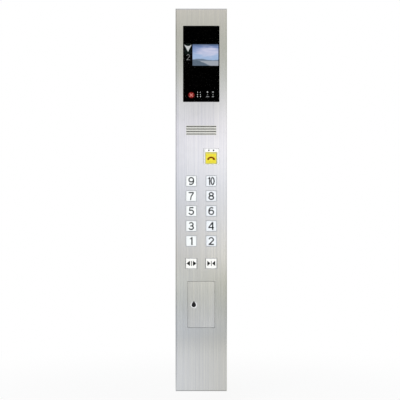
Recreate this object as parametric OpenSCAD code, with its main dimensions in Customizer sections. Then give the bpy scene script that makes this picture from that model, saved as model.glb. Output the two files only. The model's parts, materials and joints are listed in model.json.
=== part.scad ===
// Elevator car operating panel, in millimetres.
// Seen from the front, +X is to the right and +Z is up. The front faces -Y.
// The plane y = 0 is the wall, and the origin is the centre of the wall bolts.

/* [Faceplate] */
// Width of the faceplate
panel_w = 180; // [178:1:200]
// Height of the faceplate
panel_h = 1340; // [1336:1:1400]
// Depth of the folded edges, from the front to the wall
panel_d = 14; // [14:1:16]
// Thickness of the stainless sheet
plate_t = 2; // [1.5:0.5:2]
// Outside radius of the bends
bend_r = 4; // [2.5:0.5:4]
// Radius of the faceplate's four corners
corner_r = 2; // [1:0.5:2.5]

/* [Back box] */
// Outside width of the box behind the wall
box_w = 144; // [142:1:146]
// Outside height of the box behind the wall
box_h = 1296; // [1280:1:1300]
// Depth of the box behind the wall
box_d = 60; // [60:1:80]
// Thickness of the galvanised sheet
sheet_t = 1.5; // [1:0.5:2]
// Distance between the two columns of wall bolts
bolt_dx = 158; // [156:1:160]
// Distance between the top and bottom wall bolts
bolt_dz = 1200; // [1000:10:1240]
// Diameter of the holes for the wall bolts
bolt_hole_d = 6.6; // [5.5:0.1:7]

/* [Display] */
// Width of the cut-out for the tinted window
window_w = 127.4; // [120:0.2:130]
// Height of the cut-out for the tinted window
window_h = 266.6; // [260:0.2:272]
// Height of the window's centre
window_z = 476; // [470:1:480]
// Width of the lit area of the screen
screen_w = 121; // [110:1:122]
// Height of the lit area of the screen
screen_h = 83; // [76:1:84]
// Height of the screen's centre
screen_z = 506.5; // [500:0.5:510]

/* [Speaker] */
// Number of slots in the grille
slot_n = 4; // [3:1:5]
// Length of a slot
slot_w = 105; // [90:1:110]
// Height of a slot
slot_h = 2.7; // [2:0.1:4]
// Distance from slot to slot
slot_pitch = 8.75; // [7:0.25:9]
// Height of the grille's centre
grille_z = 243.5; // [240:0.5:250]

/* [Buttons] */
// Side of a floor button cap
cap_w = 36; // [34:0.5:37]
// Width of a door button cap
door_cap_w = 38; // [36:0.5:39]
// Height of a door button cap
door_cap_h = 34.5; // [33:0.5:37]
// Distance between the two columns of buttons
col_dx = 70; // [68:1:74]
// Distance from row to row
row_dz = 52.5; // [50:0.5:54]
// Height of the top row
top_row_z = 65.9; // [60:0.1:70]
// Height of the row with the door buttons
door_row_z = -222.8; // [-224:0.1:-215]
// Travel of a button
travel = 1.5; // [1:0.1:1.5]
// Height of a cap above the faceplate
cap_proud = 2; // [1.8:0.1:2.5]

/* [Alarm] */
// Side of the square alarm cap
alarm_w = 41.4; // [39:0.2:42]
// Place of the alarm cap across the panel
alarm_x = 35; // [34:0.5:37]
// Height of the alarm cap
alarm_z = 146.4; // [144:0.2:148]
// Width of the raised guard
guard_w = 57.6; // [56:0.2:60]
// Height of the raised guard, which is open at its lower side
guard_h = 55.2; // [54:0.2:57]
// Height of the guard above the faceplate
guard_proud = 3.5; // [3:0.5:5]

/* [Service cabinet] */
// Width of the door leaf
leaf_w = 93.6; // [90:0.2:95]
// Height of the door leaf
leaf_h = 160.8; // [150:0.2:162]
// Height of the door's centre
leaf_z = -366.3; // [-370:0.1:-364]
// Gap round the door leaf
leaf_gap = 1; // [0.8:0.1:1.2]
// Place of the lock across the panel
lock_x = -26; // [-26:0.5:-23]
// Height of the lock
lock_z = -367.8; // [-370:0.1:-362]
// Reach of the lock's tongue from the lock's centre
tongue_l = 30; // [29:0.5:31]
// Tilt of a rocker to each side, in degrees
rocker_tilt = 10; // [6:1:10]

/* [Hidden] */
$fn = 48;
front_y = -panel_d;
inner_y = front_y + plate_t;
leaf_x = 0;

// Box and its flange
flange_w = panel_w - 2 * plate_t - 4;
flange_h = panel_h - 2 * plate_t - 6;
box_inner_w = box_w - 2 * sheet_t;
box_inner_h = box_h - 2 * sheet_t;
box_back_y = box_d - sheet_t;

// Cable entry in the back of the box
entry_z = -600;
entry_r = 10;
grommet_wall = 3;

// Rail, hooks and bottom screws
rail_t = 1.5;
rail_z = flange_h / 2 - 15;
shelf_z = rail_z + 6.5;
hook_top_z = panel_h / 2 - bend_r - 0.3;
screw_x = 35;
screw_r = 2;
screw_head_r = 4;

// Studs that are welded to the faceplate
stud_r = 1.5;
fit = 0.03;
nut_h = 2.4;
nut_r = 3.2;
spacer_r = 3;

// Window and its moulded carrier
pane_gap = 0.2;
pane_lip = 5.5;
lip_t = 2;
pane_back_y = inner_y + lip_t;
bezel_w = 156;
bezel_h = 290;
bezel_t = 2;
bezel_y = pane_back_y + bezel_t;
bezel_body_w = 137;
bezel_body_h = 278;
bezel_back_y = 8;
bezel_stud_x = 73.5;
bezel_stud_dz = [-135, -45, 45, 135];
screen_x = 0.5;
lcd_w = 128;
lcd_h = 100;
lcd_back_y = 1;
board_t = 1.6;
display_board_y = 4;
sign_x = -34.7;
sign_z = 367.3;
sign_r = 10.5;

// Speaker
speaker_w = 90;
speaker_hole = 39.5;
speaker_cone_r = 34;
speaker_plate_y = inner_y + lip_t;
magnet_r = 24;
mic_x = -58;

// Buttons
run_gap = 0.4;
ring_t = 1.2;
cut_gap = 0.2;
cap_corner = 3.5;
door_corner = 1;
cap_wall = 1.6;
cap_lip = 1.2;
cap_edge_r = 2;
tube_t = 1.5;
flange_out = 1.5;
cut_grow = 2 * (run_gap + ring_t + cut_gap);
board_y = -1;
stop_y = inner_y + 1;
lip_h = 2.5;
stem_r = 3;
tip_r = 1.7;
switch_w = 12;
switch_y = board_y - 3.2;
shoulder_y = switch_y - travel - 0.3;
tip_y = board_y - 0.9 - travel;
rows = 5;
board_w = 136;
board_top_z = top_row_z + 29;
board_low_z = door_row_z - 27;
board_stud_x = 64.5;
board_stud_z = [top_row_z + 25, top_row_z - 2.5 * row_dz + 26, door_row_z + 52, door_row_z - 23];
alarm_board_w = 68;
alarm_stud_d = 29.5;
guard_low_z = alarm_z - alarm_w / 2 - run_gap;
guard_top_z = guard_low_z + guard_h;
guard_edge_t = 0.8;
guard_slope = 6.5;
guard_top_slope = 3;
guard_tube = 2.5;
lamp_dx = 16.2;
lamp_z = 173.4;
lamp_r = 1.9;

// Service cabinet
leaf_right = leaf_x + leaf_w / 2;
leaf_top = leaf_z + leaf_h / 2;
leaf_low = leaf_z - leaf_h / 2;
hinge_x = leaf_right - 16;
hinge_y = front_y + 4.4;
hinge_pin_r = 1.5;
ear_t = 2;
ear_back_y = hinge_y + 3;
bracket_gap = 1.5;
bracket_t = 2;
tray_t = 1.2;
tray_w = 118;
tray_h = 186;
tray_back_y = 46;
tray_flange = 9;
tray_stud_x = 64.5;
tray_stud_dz = [-82, 0, 82];
lock_head_r = 11.4;
lock_head_t = 1.2;
lock_body_r = 9.5;
plug_r = 7.8;
lock_back_y = front_y + 6.1;
cam_y = lock_back_y + 0.4;
cam_t = 1.5;
cam_w = 12;
spindle_r = 4;
striker_h = 22;
panel_plate_y = 24;
panel_plate_t = 1.5;
panel_plate_w = 104;
panel_plate_h = 160;
plate_post_dx = 44;
plate_post_dz = 72;
rocker_dx = 22;
rocker_dz = 36;
rocker_w = 11.6;
rocker_half = 9.6;
rocker_pin_r = 1.2;
rocker_body_w = 16.4;
rocker_body_h = 24.4;

// Terminals and leads
terminal_z = -545;
terminal_w = 96;
terminal_n = 8;
loom_x = -50;
loom_y = 53.5;
loom_r = 3.5;
loom_bend_r = 12;
loom_top_z = 420;
loom_tap_z = -30;

// Outlines and simple solids

// Rectangle with round corners, centred
module rounded_rect(w, h, r) {
    square([w - 2 * r, h], center = true);
    square([w, h - 2 * r], center = true);
    for (x = [-1, 1], z = [-1, 1])
        translate([x * (w / 2 - r), z * (h / 2 - r)]) circle(r);
}

// Plate in the XZ plane with round corners, from y0 back to y1
module slab(w, h, r, y0, y1) {
    translate([0, y1, 0]) rotate([90, 0, 0]) linear_extrude(y1 - y0) rounded_rect(w, h, r);
}

// Plate in the XZ plane with sharp corners, from y0 back to y1
module plate(w, h, y0, y1) {
    translate([-w / 2, y0, -h / 2]) cube([w, y1 - y0, h]);
}

// Round bar along Y, from y0 back to y1
module rod(r, y0, y1) {
    translate([0, y1, 0]) rotate([90, 0, 0]) cylinder(r = r, h = y1 - y0);
}

// Round bar with a cone, of radius r0 at y0 and r1 at y1
module cone(r0, r1, y0, y1) {
    translate([0, y1, 0]) rotate([90, 0, 0]) cylinder(r1 = r1, r2 = r0, h = y1 - y0);
}

// Outline of a sheet whose two front corners are bent to radius r
module bent_outline(w, r, y0, y1) {
    translate([-w / 2, y0 + r]) square([w, y1 - y0 - r]);
    translate([-w / 2 + r, y0]) square([w - 2 * r, y1 - y0]);
    for (x = [-1, 1]) translate([x * (w / 2 - r), y0 + r]) circle(r);
}

// Solid with all four front edges bent to radius r
module bent_solid(w, h, r, y0, y1) {
    intersection() {
        translate([0, 0, -h / 2]) linear_extrude(h) bent_outline(w, r, y0, y1);
        translate([w / 2, 0, 0]) rotate([0, -90, 0]) linear_extrude(w)
            bent_outline(h, r, y0, y1);
    }
}

// Places at the four corners of a rectangle
module at_corners(dx, dz) {
    for (x = [-dx, dx], z = [-dz, dz]) translate([x, 0, z]) children();
}

// Places of the ten floor buttons
function floor_x(n) = n % 2 == 1 ? -col_dx / 2 : col_dx / 2;
function floor_z(n) = top_row_z - row_dz * (rows - ceil(n / 2));

module at_floor_buttons() {
    for (n = [1 : 2 * rows]) translate([floor_x(n), 0, floor_z(n)]) children();
}

module at_door_buttons() {
    for (x = [-1, 1]) translate([x * col_dx / 2, 0, door_row_z]) children();
}

module at_bezel_studs() {
    for (x = [-1, 1], dz = bezel_stud_dz)
        translate([x * bezel_stud_x, 0, window_z + dz]) children();
}

module at_speaker_studs() {
    translate([0, 0, grille_z]) at_corners(speaker_hole, speaker_hole) children();
}

module at_alarm_studs() {
    translate([alarm_x, 0, alarm_z]) at_corners(alarm_stud_d, alarm_stud_d) children();
}

module at_board_studs() {
    for (x = [-1, 1], z = board_stud_z) translate([x * board_stud_x, 0, z]) children();
}

module at_tray_studs() {
    for (x = [-1, 1], dz = tray_stud_dz)
        translate([x * tray_stud_x, 0, leaf_z + dz]) children();
}

// Faceplate and what holds it on the wall

module faceplate() {
    color("gainsboro") difference() {
        intersection() {
            bent_solid(panel_w, panel_h, bend_r, front_y, 0);
            slab(panel_w, panel_h, corner_r, front_y - 1, 0);
        }
        bent_solid(panel_w - 2 * plate_t, panel_h - 2 * plate_t, bend_r - plate_t,
                   inner_y, 1);
        translate([0, 0, window_z])
            slab(window_w + pane_gap, window_h + pane_gap, 2.6, front_y - 1, inner_y + 1);
        for (i = [0 : slot_n - 1])
            translate([0, 0, grille_z + (i - (slot_n - 1) / 2) * slot_pitch])
                slab(slot_w, slot_h, slot_h / 2 - 0.01, front_y - 1, inner_y + 1);
        at_floor_buttons() slab(cap_w + cut_grow, cap_w + cut_grow, cap_corner + 1.8,
                                front_y - 1, inner_y + 1);
        at_door_buttons() slab(door_cap_w + cut_grow, door_cap_h + cut_grow,
                               door_corner + 0.6, front_y - 1, inner_y + 1);
        translate([alarm_x, 0, alarm_z])
            slab(alarm_w + 2 * guard_tube + 2 * cut_gap, alarm_w + 2 * guard_tube + 2 * cut_gap,
                 2, front_y - 1, inner_y + 1);
        at_alarm_lamps() rod(lamp_r + 0.3, front_y - 1, inner_y + 1);
        translate([leaf_x, 0, leaf_z])
            plate(leaf_w + 2 * leaf_gap, leaf_h + 2 * leaf_gap, front_y - 1, inner_y + 1);
        at_bottom_screws() screw_shape(fit);
    }
}

module back_box() {
    color("silver") difference() {
        union() {
            slab(flange_w, flange_h, 4, -sheet_t, 0);
            slab(box_w, box_h, 3, -sheet_t, box_d);
        }
        slab(box_inner_w, box_inner_h, 1.5, -sheet_t - 1, box_back_y);
        at_corners(bolt_dx / 2, bolt_dz / 2) rod(bolt_hole_d / 2, -sheet_t - 1, 1);
        for (x = [-1, 1])
            translate([x * bolt_dx / 2, 0, 0]) rod(bolt_hole_d / 2, -sheet_t - 1, 1);
        translate([0, 0, entry_z]) rod(entry_r + 2, box_back_y - 1, box_d + 1);
    }
}

// Rail that the faceplate hangs on, and the angle that takes its bottom screws
module box_brackets() {
    rail_w = 100;
    shelf_y = -sheet_t - 5;
    rail_lip_h = hook_top_z - rail_t - 0.7 - shelf_z;
    angle_z = -panel_h / 2 + plate_t + 0.5;
    leg_t = 2;
    leg_h = 16;
    foot_t = 3;
    foot_y = inner_y + 1;
    color("darkgray") {
        translate([-rail_w / 2, -sheet_t - rail_t, rail_z])
            cube([rail_w, rail_t, shelf_z + rail_t - rail_z]);
        translate([-rail_w / 2, shelf_y, shelf_z]) cube([rail_w, -sheet_t - shelf_y, rail_t]);
        translate([-rail_w / 2, shelf_y, shelf_z]) cube([rail_w, rail_t, rail_lip_h]);
        difference() {
            union() {
                translate([-rail_w / 2, -sheet_t - leg_t, angle_z]) cube([rail_w, leg_t, leg_h]);
                translate([-rail_w / 2, foot_y, angle_z])
                    cube([rail_w, -sheet_t - foot_y, foot_t]);
            }
            at_bottom_screws() cylinder(r = screw_r + fit, h = 12);
        }
    }
}

// Hooks that are welded inside the top of the faceplate and drop over the rail
module faceplate_hooks() {
    hook_w = 30;
    hook_x = 32;
    weld_h = 16;
    tail_h = hook_top_z - shelf_z - rail_t - 0.4;
    tail_y = -sheet_t - 1.6;
    color("lightgray") for (x = [-hook_x, hook_x]) translate([x - hook_w / 2, 0, hook_top_z]) {
        translate([0, inner_y, -weld_h]) cube([hook_w, rail_t, weld_h]);
        translate([0, inner_y, -rail_t]) cube([hook_w, tail_y - inner_y, rail_t]);
        translate([0, tail_y - rail_t, -tail_h]) cube([hook_w, rail_t, tail_h]);
    }
}

module at_bottom_screws() {
    for (x = [-screw_x, screw_x]) translate([x, front_y / 2, -panel_h / 2]) children();
}

// Countersunk screw that points up from the bottom edge, larger by a gap g
module screw_shape(g) {
    cylinder(r1 = screw_head_r + g, r2 = screw_r + g, h = screw_head_r - screw_r);
    cylinder(r = screw_r + g, h = 9);
}

module bottom_screws() {
    color("silver") at_bottom_screws() difference() {
        screw_shape(0);
        translate([0, 0, -0.1]) cylinder(r = 1.4, h = 1.5, $fn = 6);
    }
}

// Studs, spacers and nuts that hold what is behind the faceplate

module stud(end_y) {
    rod(stud_r, inner_y, end_y);
}

module weld_studs() {
    color("silver") {
        at_bezel_studs() stud(bezel_y + nut_h + 1);
        at_speaker_studs() stud(speaker_plate_y + 1.5 + nut_h + 1);
        at_alarm_studs() stud(board_y + board_t + nut_h + 1);
        at_board_studs() stud(board_y + board_t + nut_h + 1);
        at_tray_studs() stud(inner_y + tray_t + nut_h + 1);
    }
}

module ring(r_out, r_in, y0, y1) {
    difference() {
        rod(r_out, y0, y1);
        rod(r_in, y0 - 1, y1 + 1);
    }
}

module stud_spacers() {
    color("whitesmoke") {
        at_bezel_studs() ring(spacer_r, stud_r + fit, inner_y, pane_back_y);
        at_alarm_studs() ring(spacer_r, stud_r + fit, inner_y, board_y);
        at_board_studs() ring(spacer_r, stud_r + fit, inner_y, board_y);
    }
}

module nut(y0) {
    difference() {
        translate([0, y0 + nut_h, 0]) rotate([90, 0, 0]) cylinder(r = nut_r, h = nut_h, $fn = 6);
        rod(stud_r + fit, y0 - 1, y0 + nut_h + 1);
    }
}

module stud_nuts() {
    color("silver") {
        at_bezel_studs() nut(bezel_y);
        at_speaker_studs() nut(speaker_plate_y + 1.5);
        at_alarm_studs() nut(board_y + board_t);
        at_board_studs() nut(board_y + board_t);
        at_tray_studs() nut(inner_y + tray_t);
    }
}

// Display

// Tinted pane, rebated so that its front is flush and its lip lies behind the sheet
module display_window() {
    color("black") translate([0, 0, window_z]) {
        slab(window_w, window_h, 2.5, front_y, inner_y);
        slab(window_w + 2 * pane_lip, window_h + 2 * pane_lip, 4, inner_y, pane_back_y);
    }
}

// Moulded carrier with openings for the screen and the sign lamp
module display_bezel() {
    post_x = bezel_body_w / 2 - 8;
    post_z = bezel_body_h / 2 - 8;
    color("dimgray") difference() {
        translate([0, 0, window_z]) {
            slab(bezel_w, bezel_h, 6, pane_back_y, bezel_y);
            difference() {
                slab(bezel_body_w, bezel_body_h, 4, bezel_y, bezel_back_y);
                slab(bezel_body_w - 4, bezel_body_h - 4, 2, bezel_y, bezel_back_y + 1);
            }
            at_corners(post_x, post_z) rod(4, bezel_y, display_board_y);
        }
        translate([screen_x, 0, screen_z])
            plate(screen_w + 1, screen_h + 1, pane_back_y - 1, bezel_y + 1);
        translate([sign_x, 0, sign_z]) rod(sign_r + 0.2, pane_back_y - 1, bezel_y + 1);
        at_bezel_studs() rod(stud_r + 0.2, pane_back_y - 1, bezel_y + 1);
    }
}

module lcd_screen() {
    color("lightsteelblue") translate([screen_x, 0, screen_z])
        plate(screen_w, screen_h, pane_back_y + 0.3, bezel_y);
}

// Screen module in a pressed frame, with its driver board behind
module lcd_module() {
    color("lightgray") translate([screen_x, 0, screen_z]) {
        slab(lcd_w, lcd_h, 2, bezel_y, bezel_y + 6.5);
        slab(lcd_w - 14, lcd_h - 30, 1, bezel_y + 6.5, lcd_back_y);
    }
}

module chip(x, z, w, h, y0, t) {
    translate([x, 0, z]) plate(w, h, y0, y0 + t);
}

module display_board() {
    board_h = bezel_body_h - 8;
    back = display_board_y + board_t;
    color("seagreen") translate([0, 0, window_z]) {
        slab(bezel_body_w - 5, board_h, 2, display_board_y, back);
        chip(0, 48, 22, 22, back, 2);
        chip(30, 20, 14, 10, back, 2.2);
        chip(-30, 20, 12, 18, back, 1.6);
        chip(38, -48, 26, 12, back, 7);
        chip(-40, -60, 30, 10, back, 9);
        for (i = [0 : 4]) translate([-20 + i * 13, 0, -100]) rod(4, back, back + 9);
    }
}

module sign_lamp() {
    color("firebrick") translate([sign_x, 0, sign_z]) {
        rod(sign_r, pane_back_y + 0.3, bezel_y);
        rod(sign_r + 2, bezel_y, bezel_y + 5);
        plate(8, 8, bezel_y + 5, display_board_y);
    }
}

// Speaker and microphone

module speaker_gasket() {
    color("dimgray") translate([0, 0, grille_z]) difference() {
        slab(speaker_w, speaker_w, 6, inner_y, speaker_plate_y);
        plate(76, 30, inner_y - 1, speaker_plate_y + 1);
        rod(speaker_cone_r, inner_y - 1, speaker_plate_y + 1);
        at_corners(speaker_hole, speaker_hole) rod(stud_r + 0.2, inner_y - 1, inner_y + 5);
    }
}

// Pressed basket with a flat rim, a conical body and four windows
module speaker_frame() {
    rim_y = speaker_plate_y + 1.5;
    seat_y = rim_y + 18;
    color("dimgray") translate([0, 0, grille_z]) difference() {
        union() {
            slab(speaker_w, speaker_w, 6, speaker_plate_y, rim_y);
            cone(speaker_cone_r + 3, magnet_r, rim_y, seat_y);
        }
        rod(speaker_cone_r, speaker_plate_y - 1, rim_y);
        cone(speaker_cone_r + 1.4, magnet_r - 1.6, rim_y, seat_y - 1.5);
        rod(14, seat_y - 2, seat_y + 1);
        at_corners(speaker_hole, speaker_hole)
            rod(stud_r + 0.2, speaker_plate_y - 1, rim_y + 1);
        for (a = [0 : 90 : 270]) rotate([0, a, 0])
            translate([0, rim_y + 3, 0]) plate(12, 3 * speaker_cone_r, 0, 9);
    }
}

// Paper cone with its rolled edge and dust cap, turned about the speaker's axis
module speaker_cone() {
    r = speaker_cone_r;
    color("black") translate([0, 0, grille_z]) rotate([90, 0, 0]) rotate_extrude()
        translate([0, -speaker_plate_y]) polygon([
            [0, -9.6], [5, -9.2], [9, -8.2], [11, -7], [r - 6, -0.6], [r - 4.5, 0.6],
            [r - 2.5, 0.6], [r - 1.2, -0.6], [r - 0.3, -0.6], [r - 0.3, -1.2],
            [r - 1.6, -1.2], [r - 3, 0], [r - 4, 0], [r - 5.4, -1.4], [12, -11],
            [12, -13.5], [10.5, -13.5], [10.5, -9.2], [0, -10.4]
        ]);
}

module speaker_magnet() {
    seat_y = speaker_plate_y + 1.5 + 18;
    color("darkslategray") translate([0, 0, grille_z]) {
        rod(magnet_r, seat_y, seat_y + 3);
        rod(magnet_r - 1.5, seat_y + 3, seat_y + 12);
        rod(magnet_r - 3, seat_y + 12, seat_y + 15);
    }
}

// Microphone capsule in a rubber sleeve, behind the left end of the grille
module microphone() {
    color("black") translate([mic_x, 0, grille_z]) {
        ring(6, 4.85, inner_y, inner_y + 8);
        rod(4.8, inner_y + 1, inner_y + 8);
        plate(14, 16, inner_y + 8, inner_y + 9.6);
    }
}

// Push buttons

// Shell of a cap with rolled front edges, a rear lip that stops it, and a stem.
// The front stands at y0, and the rear lip rests behind the ring at ring_y.
module push_cap(w, h, corner, y0, ring_y) {
    rear_y = ring_y + 0.3 + lip_h;
    rib_t = 1.2;
    difference() {
        union() {
            intersection() {
                slab(w, h, corner, y0, ring_y + 0.4);
                bent_solid(w, h, cap_edge_r, y0, ring_y + 0.4);
            }
            slab(w + 2 * cap_lip, h + 2 * cap_lip, corner + cap_lip, ring_y + 0.3, rear_y);
        }
        slab(w - 2 * cap_wall, h - 2 * cap_wall, max(corner - cap_wall, 0.4),
             y0 + cap_wall, rear_y + 1);
    }
    rod(stem_r, y0 + cap_wall - 0.2, shoulder_y);
    rod(tip_r, shoulder_y - 0.2, tip_y);
    plate(rib_t, h - 2 * cap_wall + 0.4, y0 + cap_wall - 0.2, y0 + 4);
    plate(w - 2 * cap_wall + 0.4, rib_t, y0 + cap_wall - 0.2, y0 + 4);
}

module floor_cap(n) {
    color("white") translate([floor_x(n), 0, floor_z(n)])
        push_cap(cap_w, cap_w, cap_corner, front_y - cap_proud, stop_y);
}

module door_cap(side) {
    color("white") translate([side * col_dx / 2, 0, door_row_z])
        push_cap(door_cap_w, door_cap_h, door_corner, front_y - cap_proud, stop_y);
}

// Moulded housing: a ring in the cut-out, a flange behind the sheet, a square tube
module button_housing(w, h, corner) {
    ring_in = 2 * run_gap;
    ring_out = ring_in + 2 * ring_t;
    tube_in = ring_in + 2 * cap_lip;
    tube_out = tube_in + 2 * tube_t;
    flange = tube_out + 2 * flange_out;
    difference() {
        union() {
            slab(w + ring_out, h + ring_out, corner + 1.6, front_y - 0.2, inner_y);
            slab(w + flange, h + flange, 3, inner_y, inner_y + 1.5);
            slab(w + tube_out, h + tube_out, 2.5, inner_y, board_y);
        }
        slab(w + ring_in, h + ring_in, corner + run_gap, front_y - 1, board_y + 1);
        slab(w + tube_in, h + tube_in, corner + cap_lip + run_gap, stop_y, board_y + 1);
    }
}

module floor_button_housings() {
    color("gray") at_floor_buttons() button_housing(cap_w, cap_w, cap_corner);
}

module door_button_housings() {
    color("gray") at_door_buttons() button_housing(door_cap_w, door_cap_h, door_corner);
}

module microswitch() {
    difference() {
        slab(switch_w, switch_w, 0.6, switch_y, board_y);
        rod(tip_r + 0.3, switch_y - 1, board_y - 0.6);
    }
}

module microswitches() {
    color("black") {
        at_floor_buttons() microswitch();
        at_door_buttons() microswitch();
        translate([alarm_x, 0, alarm_z]) microswitch();
    }
}

module button_leds() {
    color("palegreen") {
        at_floor_buttons() at_corners(11, 11) rod(1.5, board_y - 2.2, board_y);
        at_door_buttons() at_corners(11, 11) rod(1.5, board_y - 2.2, board_y);
        translate([alarm_x, 0, alarm_z]) at_corners(13, 13) rod(1.5, board_y - 2.2, board_y);
    }
}

module button_board() {
    mid_z = (board_top_z + board_low_z) / 2;
    back = board_y + board_t;
    color("seagreen") difference() {
        union() {
            translate([0, 0, mid_z])
                slab(board_w, board_top_z - board_low_z, 3, board_y, back);
            chip(0, loom_tap_z + 24, 18, 18, back, 2);
            chip(loom_x, loom_tap_z, 16, 34, back, 9);
            for (i = [0 : 2]) chip(0, floor_z(1) + i * 2 * row_dz, 12, 8, back, 2);
        }
        at_board_studs() rod(stud_r + 0.2, board_y - 1, back + 1);
    }
}

// Alarm

module at_alarm_lamps() {
    for (x = [-1, 1]) translate([alarm_x + x * lamp_dx / 2, 0, lamp_z]) children();
}

// Block over the top and the sides of the alarm cap, with sloping outer faces
module guard_block() {
    guard_r = 3;
    top_y = front_y - guard_proud;
    edge_y = front_y - guard_edge_t;
    half = guard_w / 2;
    intersection() {
        translate([0, 0, guard_low_z]) linear_extrude(guard_h)
            polygon([[-half, front_y], [-half, edge_y], [-half + guard_slope, top_y],
                     [half - guard_slope, top_y], [half, edge_y], [half, front_y]]);
        translate([half, 0, 0]) rotate([0, -90, 0]) linear_extrude(guard_w)
            polygon([[guard_low_z, front_y], [guard_low_z, top_y],
                     [guard_top_z - guard_top_slope, top_y], [guard_top_z, edge_y],
                     [guard_top_z, front_y]]);
        translate([0, 0, guard_top_z - guard_h])
            slab(guard_w, 2 * guard_h, guard_r, top_y, front_y);
    }
}

// Raised guard over the top and the sides of the alarm cap, with the tube that carries it
module alarm_guard() {
    open_w = alarm_w + 2 * run_gap;
    open_r = 3.4;
    open_down = 10;
    tube_w = alarm_w + 2 * guard_tube;
    tube_in = alarm_w + 2 * cap_lip + 2 * run_gap;
    ring_y = front_y - 0.2;
    cut_y = front_y - guard_proud - 1;
    color("white") difference() {
        union() {
            difference() {
                translate([alarm_x, 0, 0]) guard_block();
                translate([alarm_x, 0, alarm_z - open_down])
                    slab(open_w, open_w + 2 * open_down, open_r, cut_y, ring_y);
            }
            translate([alarm_x, 0, alarm_z]) slab(tube_w, tube_w, 1.8, ring_y, board_y);
        }
        translate([alarm_x, 0, alarm_z]) {
            slab(open_w, open_w, open_r, cut_y, board_y + 1);
            slab(tube_in, tube_in, 1, front_y + 0.5, board_y + 1);
        }
        at_alarm_lamps() rod(lamp_r + fit, front_y - guard_proud - 1, front_y + 1);
    }
}

module alarm_lamps() {
    color("darkred") at_alarm_lamps() {
        rod(lamp_r, front_y - guard_proud - 0.2, inner_y + 4);
        rod(lamp_r + 0.6, inner_y + 4, board_y);
    }
}

module alarm_cap() {
    color("gold") translate([alarm_x, 0, alarm_z])
        push_cap(alarm_w, alarm_w, 3, front_y - guard_proud - 1, front_y + 0.5);
}

module alarm_board() {
    color("seagreen") translate([alarm_x, 0, alarm_z]) difference() {
        slab(alarm_board_w, alarm_board_w, 3, board_y, board_y + board_t);
        at_corners(alarm_stud_d, alarm_stud_d) rod(stud_r + 0.2, board_y - 1, board_y + 3);
    }
}

// Service cabinet

// Leaf with an ear folded back at the top and at the bottom of the hinge side
module service_door() {
    ear_x = hinge_x - 8;
    color("gainsboro") difference() {
        union() {
            translate([leaf_x, 0, leaf_z]) slab(leaf_w, leaf_h, 0.8, front_y, inner_y);
            for (z = [leaf_low, leaf_top - ear_t])
                translate([ear_x, inner_y - 0.5, z])
                    cube([leaf_right - 2 - ear_x, ear_back_y - inner_y + 0.5, ear_t]);
            for (x = [ear_x, leaf_right - 4])
                translate([x, inner_y - 0.5, leaf_low]) cube([1.5, 2.5, leaf_h]);
        }
        translate([hinge_x, hinge_y, leaf_low - 1])
            cylinder(r = hinge_pin_r + fit, h = leaf_h + 2);
        translate([lock_x, 0, lock_z]) rod(lock_body_r + fit, front_y - 1, inner_y + 1);
    }
}

module hinge_pins() {
    pin_l = 8;
    color("silver") for (z = [leaf_low - 4.5, leaf_top + 4.5 - pin_l])
        translate([hinge_x, hinge_y, z]) cylinder(r = hinge_pin_r, h = pin_l);
}

// Angle brackets behind the faceplate, which the hinge pins turn in
module hinge_brackets() {
    bracket_w = 14;
    leg_h = 9;
    color("lightgray") for (up = [0, 1]) translate([hinge_x, 0, leaf_z]) mirror([0, 0, 1 - up])
        translate([0, 0, leaf_h / 2 + bracket_gap]) difference() {
            union() {
                translate([-bracket_w / 2, inner_y, 0])
                    cube([bracket_w, ear_back_y - inner_y, bracket_t]);
                translate([-bracket_w / 2, inner_y, 0]) cube([bracket_w, 1, leg_h]);
            }
            translate([0, hinge_y, -1]) cylinder(r = hinge_pin_r + 0.06, h = bracket_t + 2);
        }
}

// Sheet tray behind the door, with a flange, the plate's posts and the lock's striker
module service_tray() {
    striker_x = leaf_x - leaf_w / 2 - leaf_gap - 0.8;
    color("silver") difference() {
        translate([0, 0, leaf_z]) {
            difference() {
                union() {
                    slab(tray_w + 2 * tray_flange, tray_h + 2 * tray_flange, 3,
                         inner_y, inner_y + tray_t);
                    slab(tray_w, tray_h, 3, inner_y, tray_back_y);
                }
                slab(tray_w - 2 * tray_t, tray_h - 2 * tray_t, 2,
                     inner_y - 1, tray_back_y - tray_t);
                translate([0, 0, -tray_h / 2 + 16]) rod(8, tray_back_y - 5, tray_back_y + 1);
            }
            translate([leaf_x, 0, 0]) at_corners(plate_post_dx, plate_post_dz)
                ring(3.5, 1.5 + fit, panel_plate_y + panel_plate_t, tray_back_y - tray_t);
            translate([-tray_w / 2 + tray_t, inner_y, lock_z - leaf_z - striker_h / 2])
                cube([striker_x + tray_w / 2 - tray_t, cam_y - 0.4 - inner_y, striker_h]);
        }
        at_tray_studs() rod(stud_r + 0.2, inner_y - 1, inner_y + tray_t + 1);
    }
}

module at_rockers() {
    for (x = [-1, 1], z = [-1, 1])
        translate([leaf_x + x * rocker_dx, panel_plate_y, leaf_z + z * rocker_dz]) children();
}

module switch_plate() {
    color("silver") difference() {
        translate([leaf_x, 0, leaf_z]) slab(panel_plate_w, panel_plate_h, 3,
                                           panel_plate_y, panel_plate_y + panel_plate_t);
        at_rockers() plate(rocker_body_w + 0.6, rocker_body_h + 0.6, -1, panel_plate_t + 1);
        translate([leaf_x, 0, leaf_z]) at_corners(plate_post_dx, plate_post_dz)
            rod(1.7, panel_plate_y - 1, panel_plate_y + panel_plate_t + 1);
    }
}

module plate_screws() {
    color("silver") translate([leaf_x, 0, leaf_z]) at_corners(plate_post_dx, plate_post_dz)
        difference() {
            union() {
                rod(2.8, panel_plate_y - 2, panel_plate_y);
                rod(1.5, panel_plate_y, panel_plate_y + 12);
            }
            plate(0.8, 6, panel_plate_y - 2.1, panel_plate_y - 1.2);
        }
}

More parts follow.
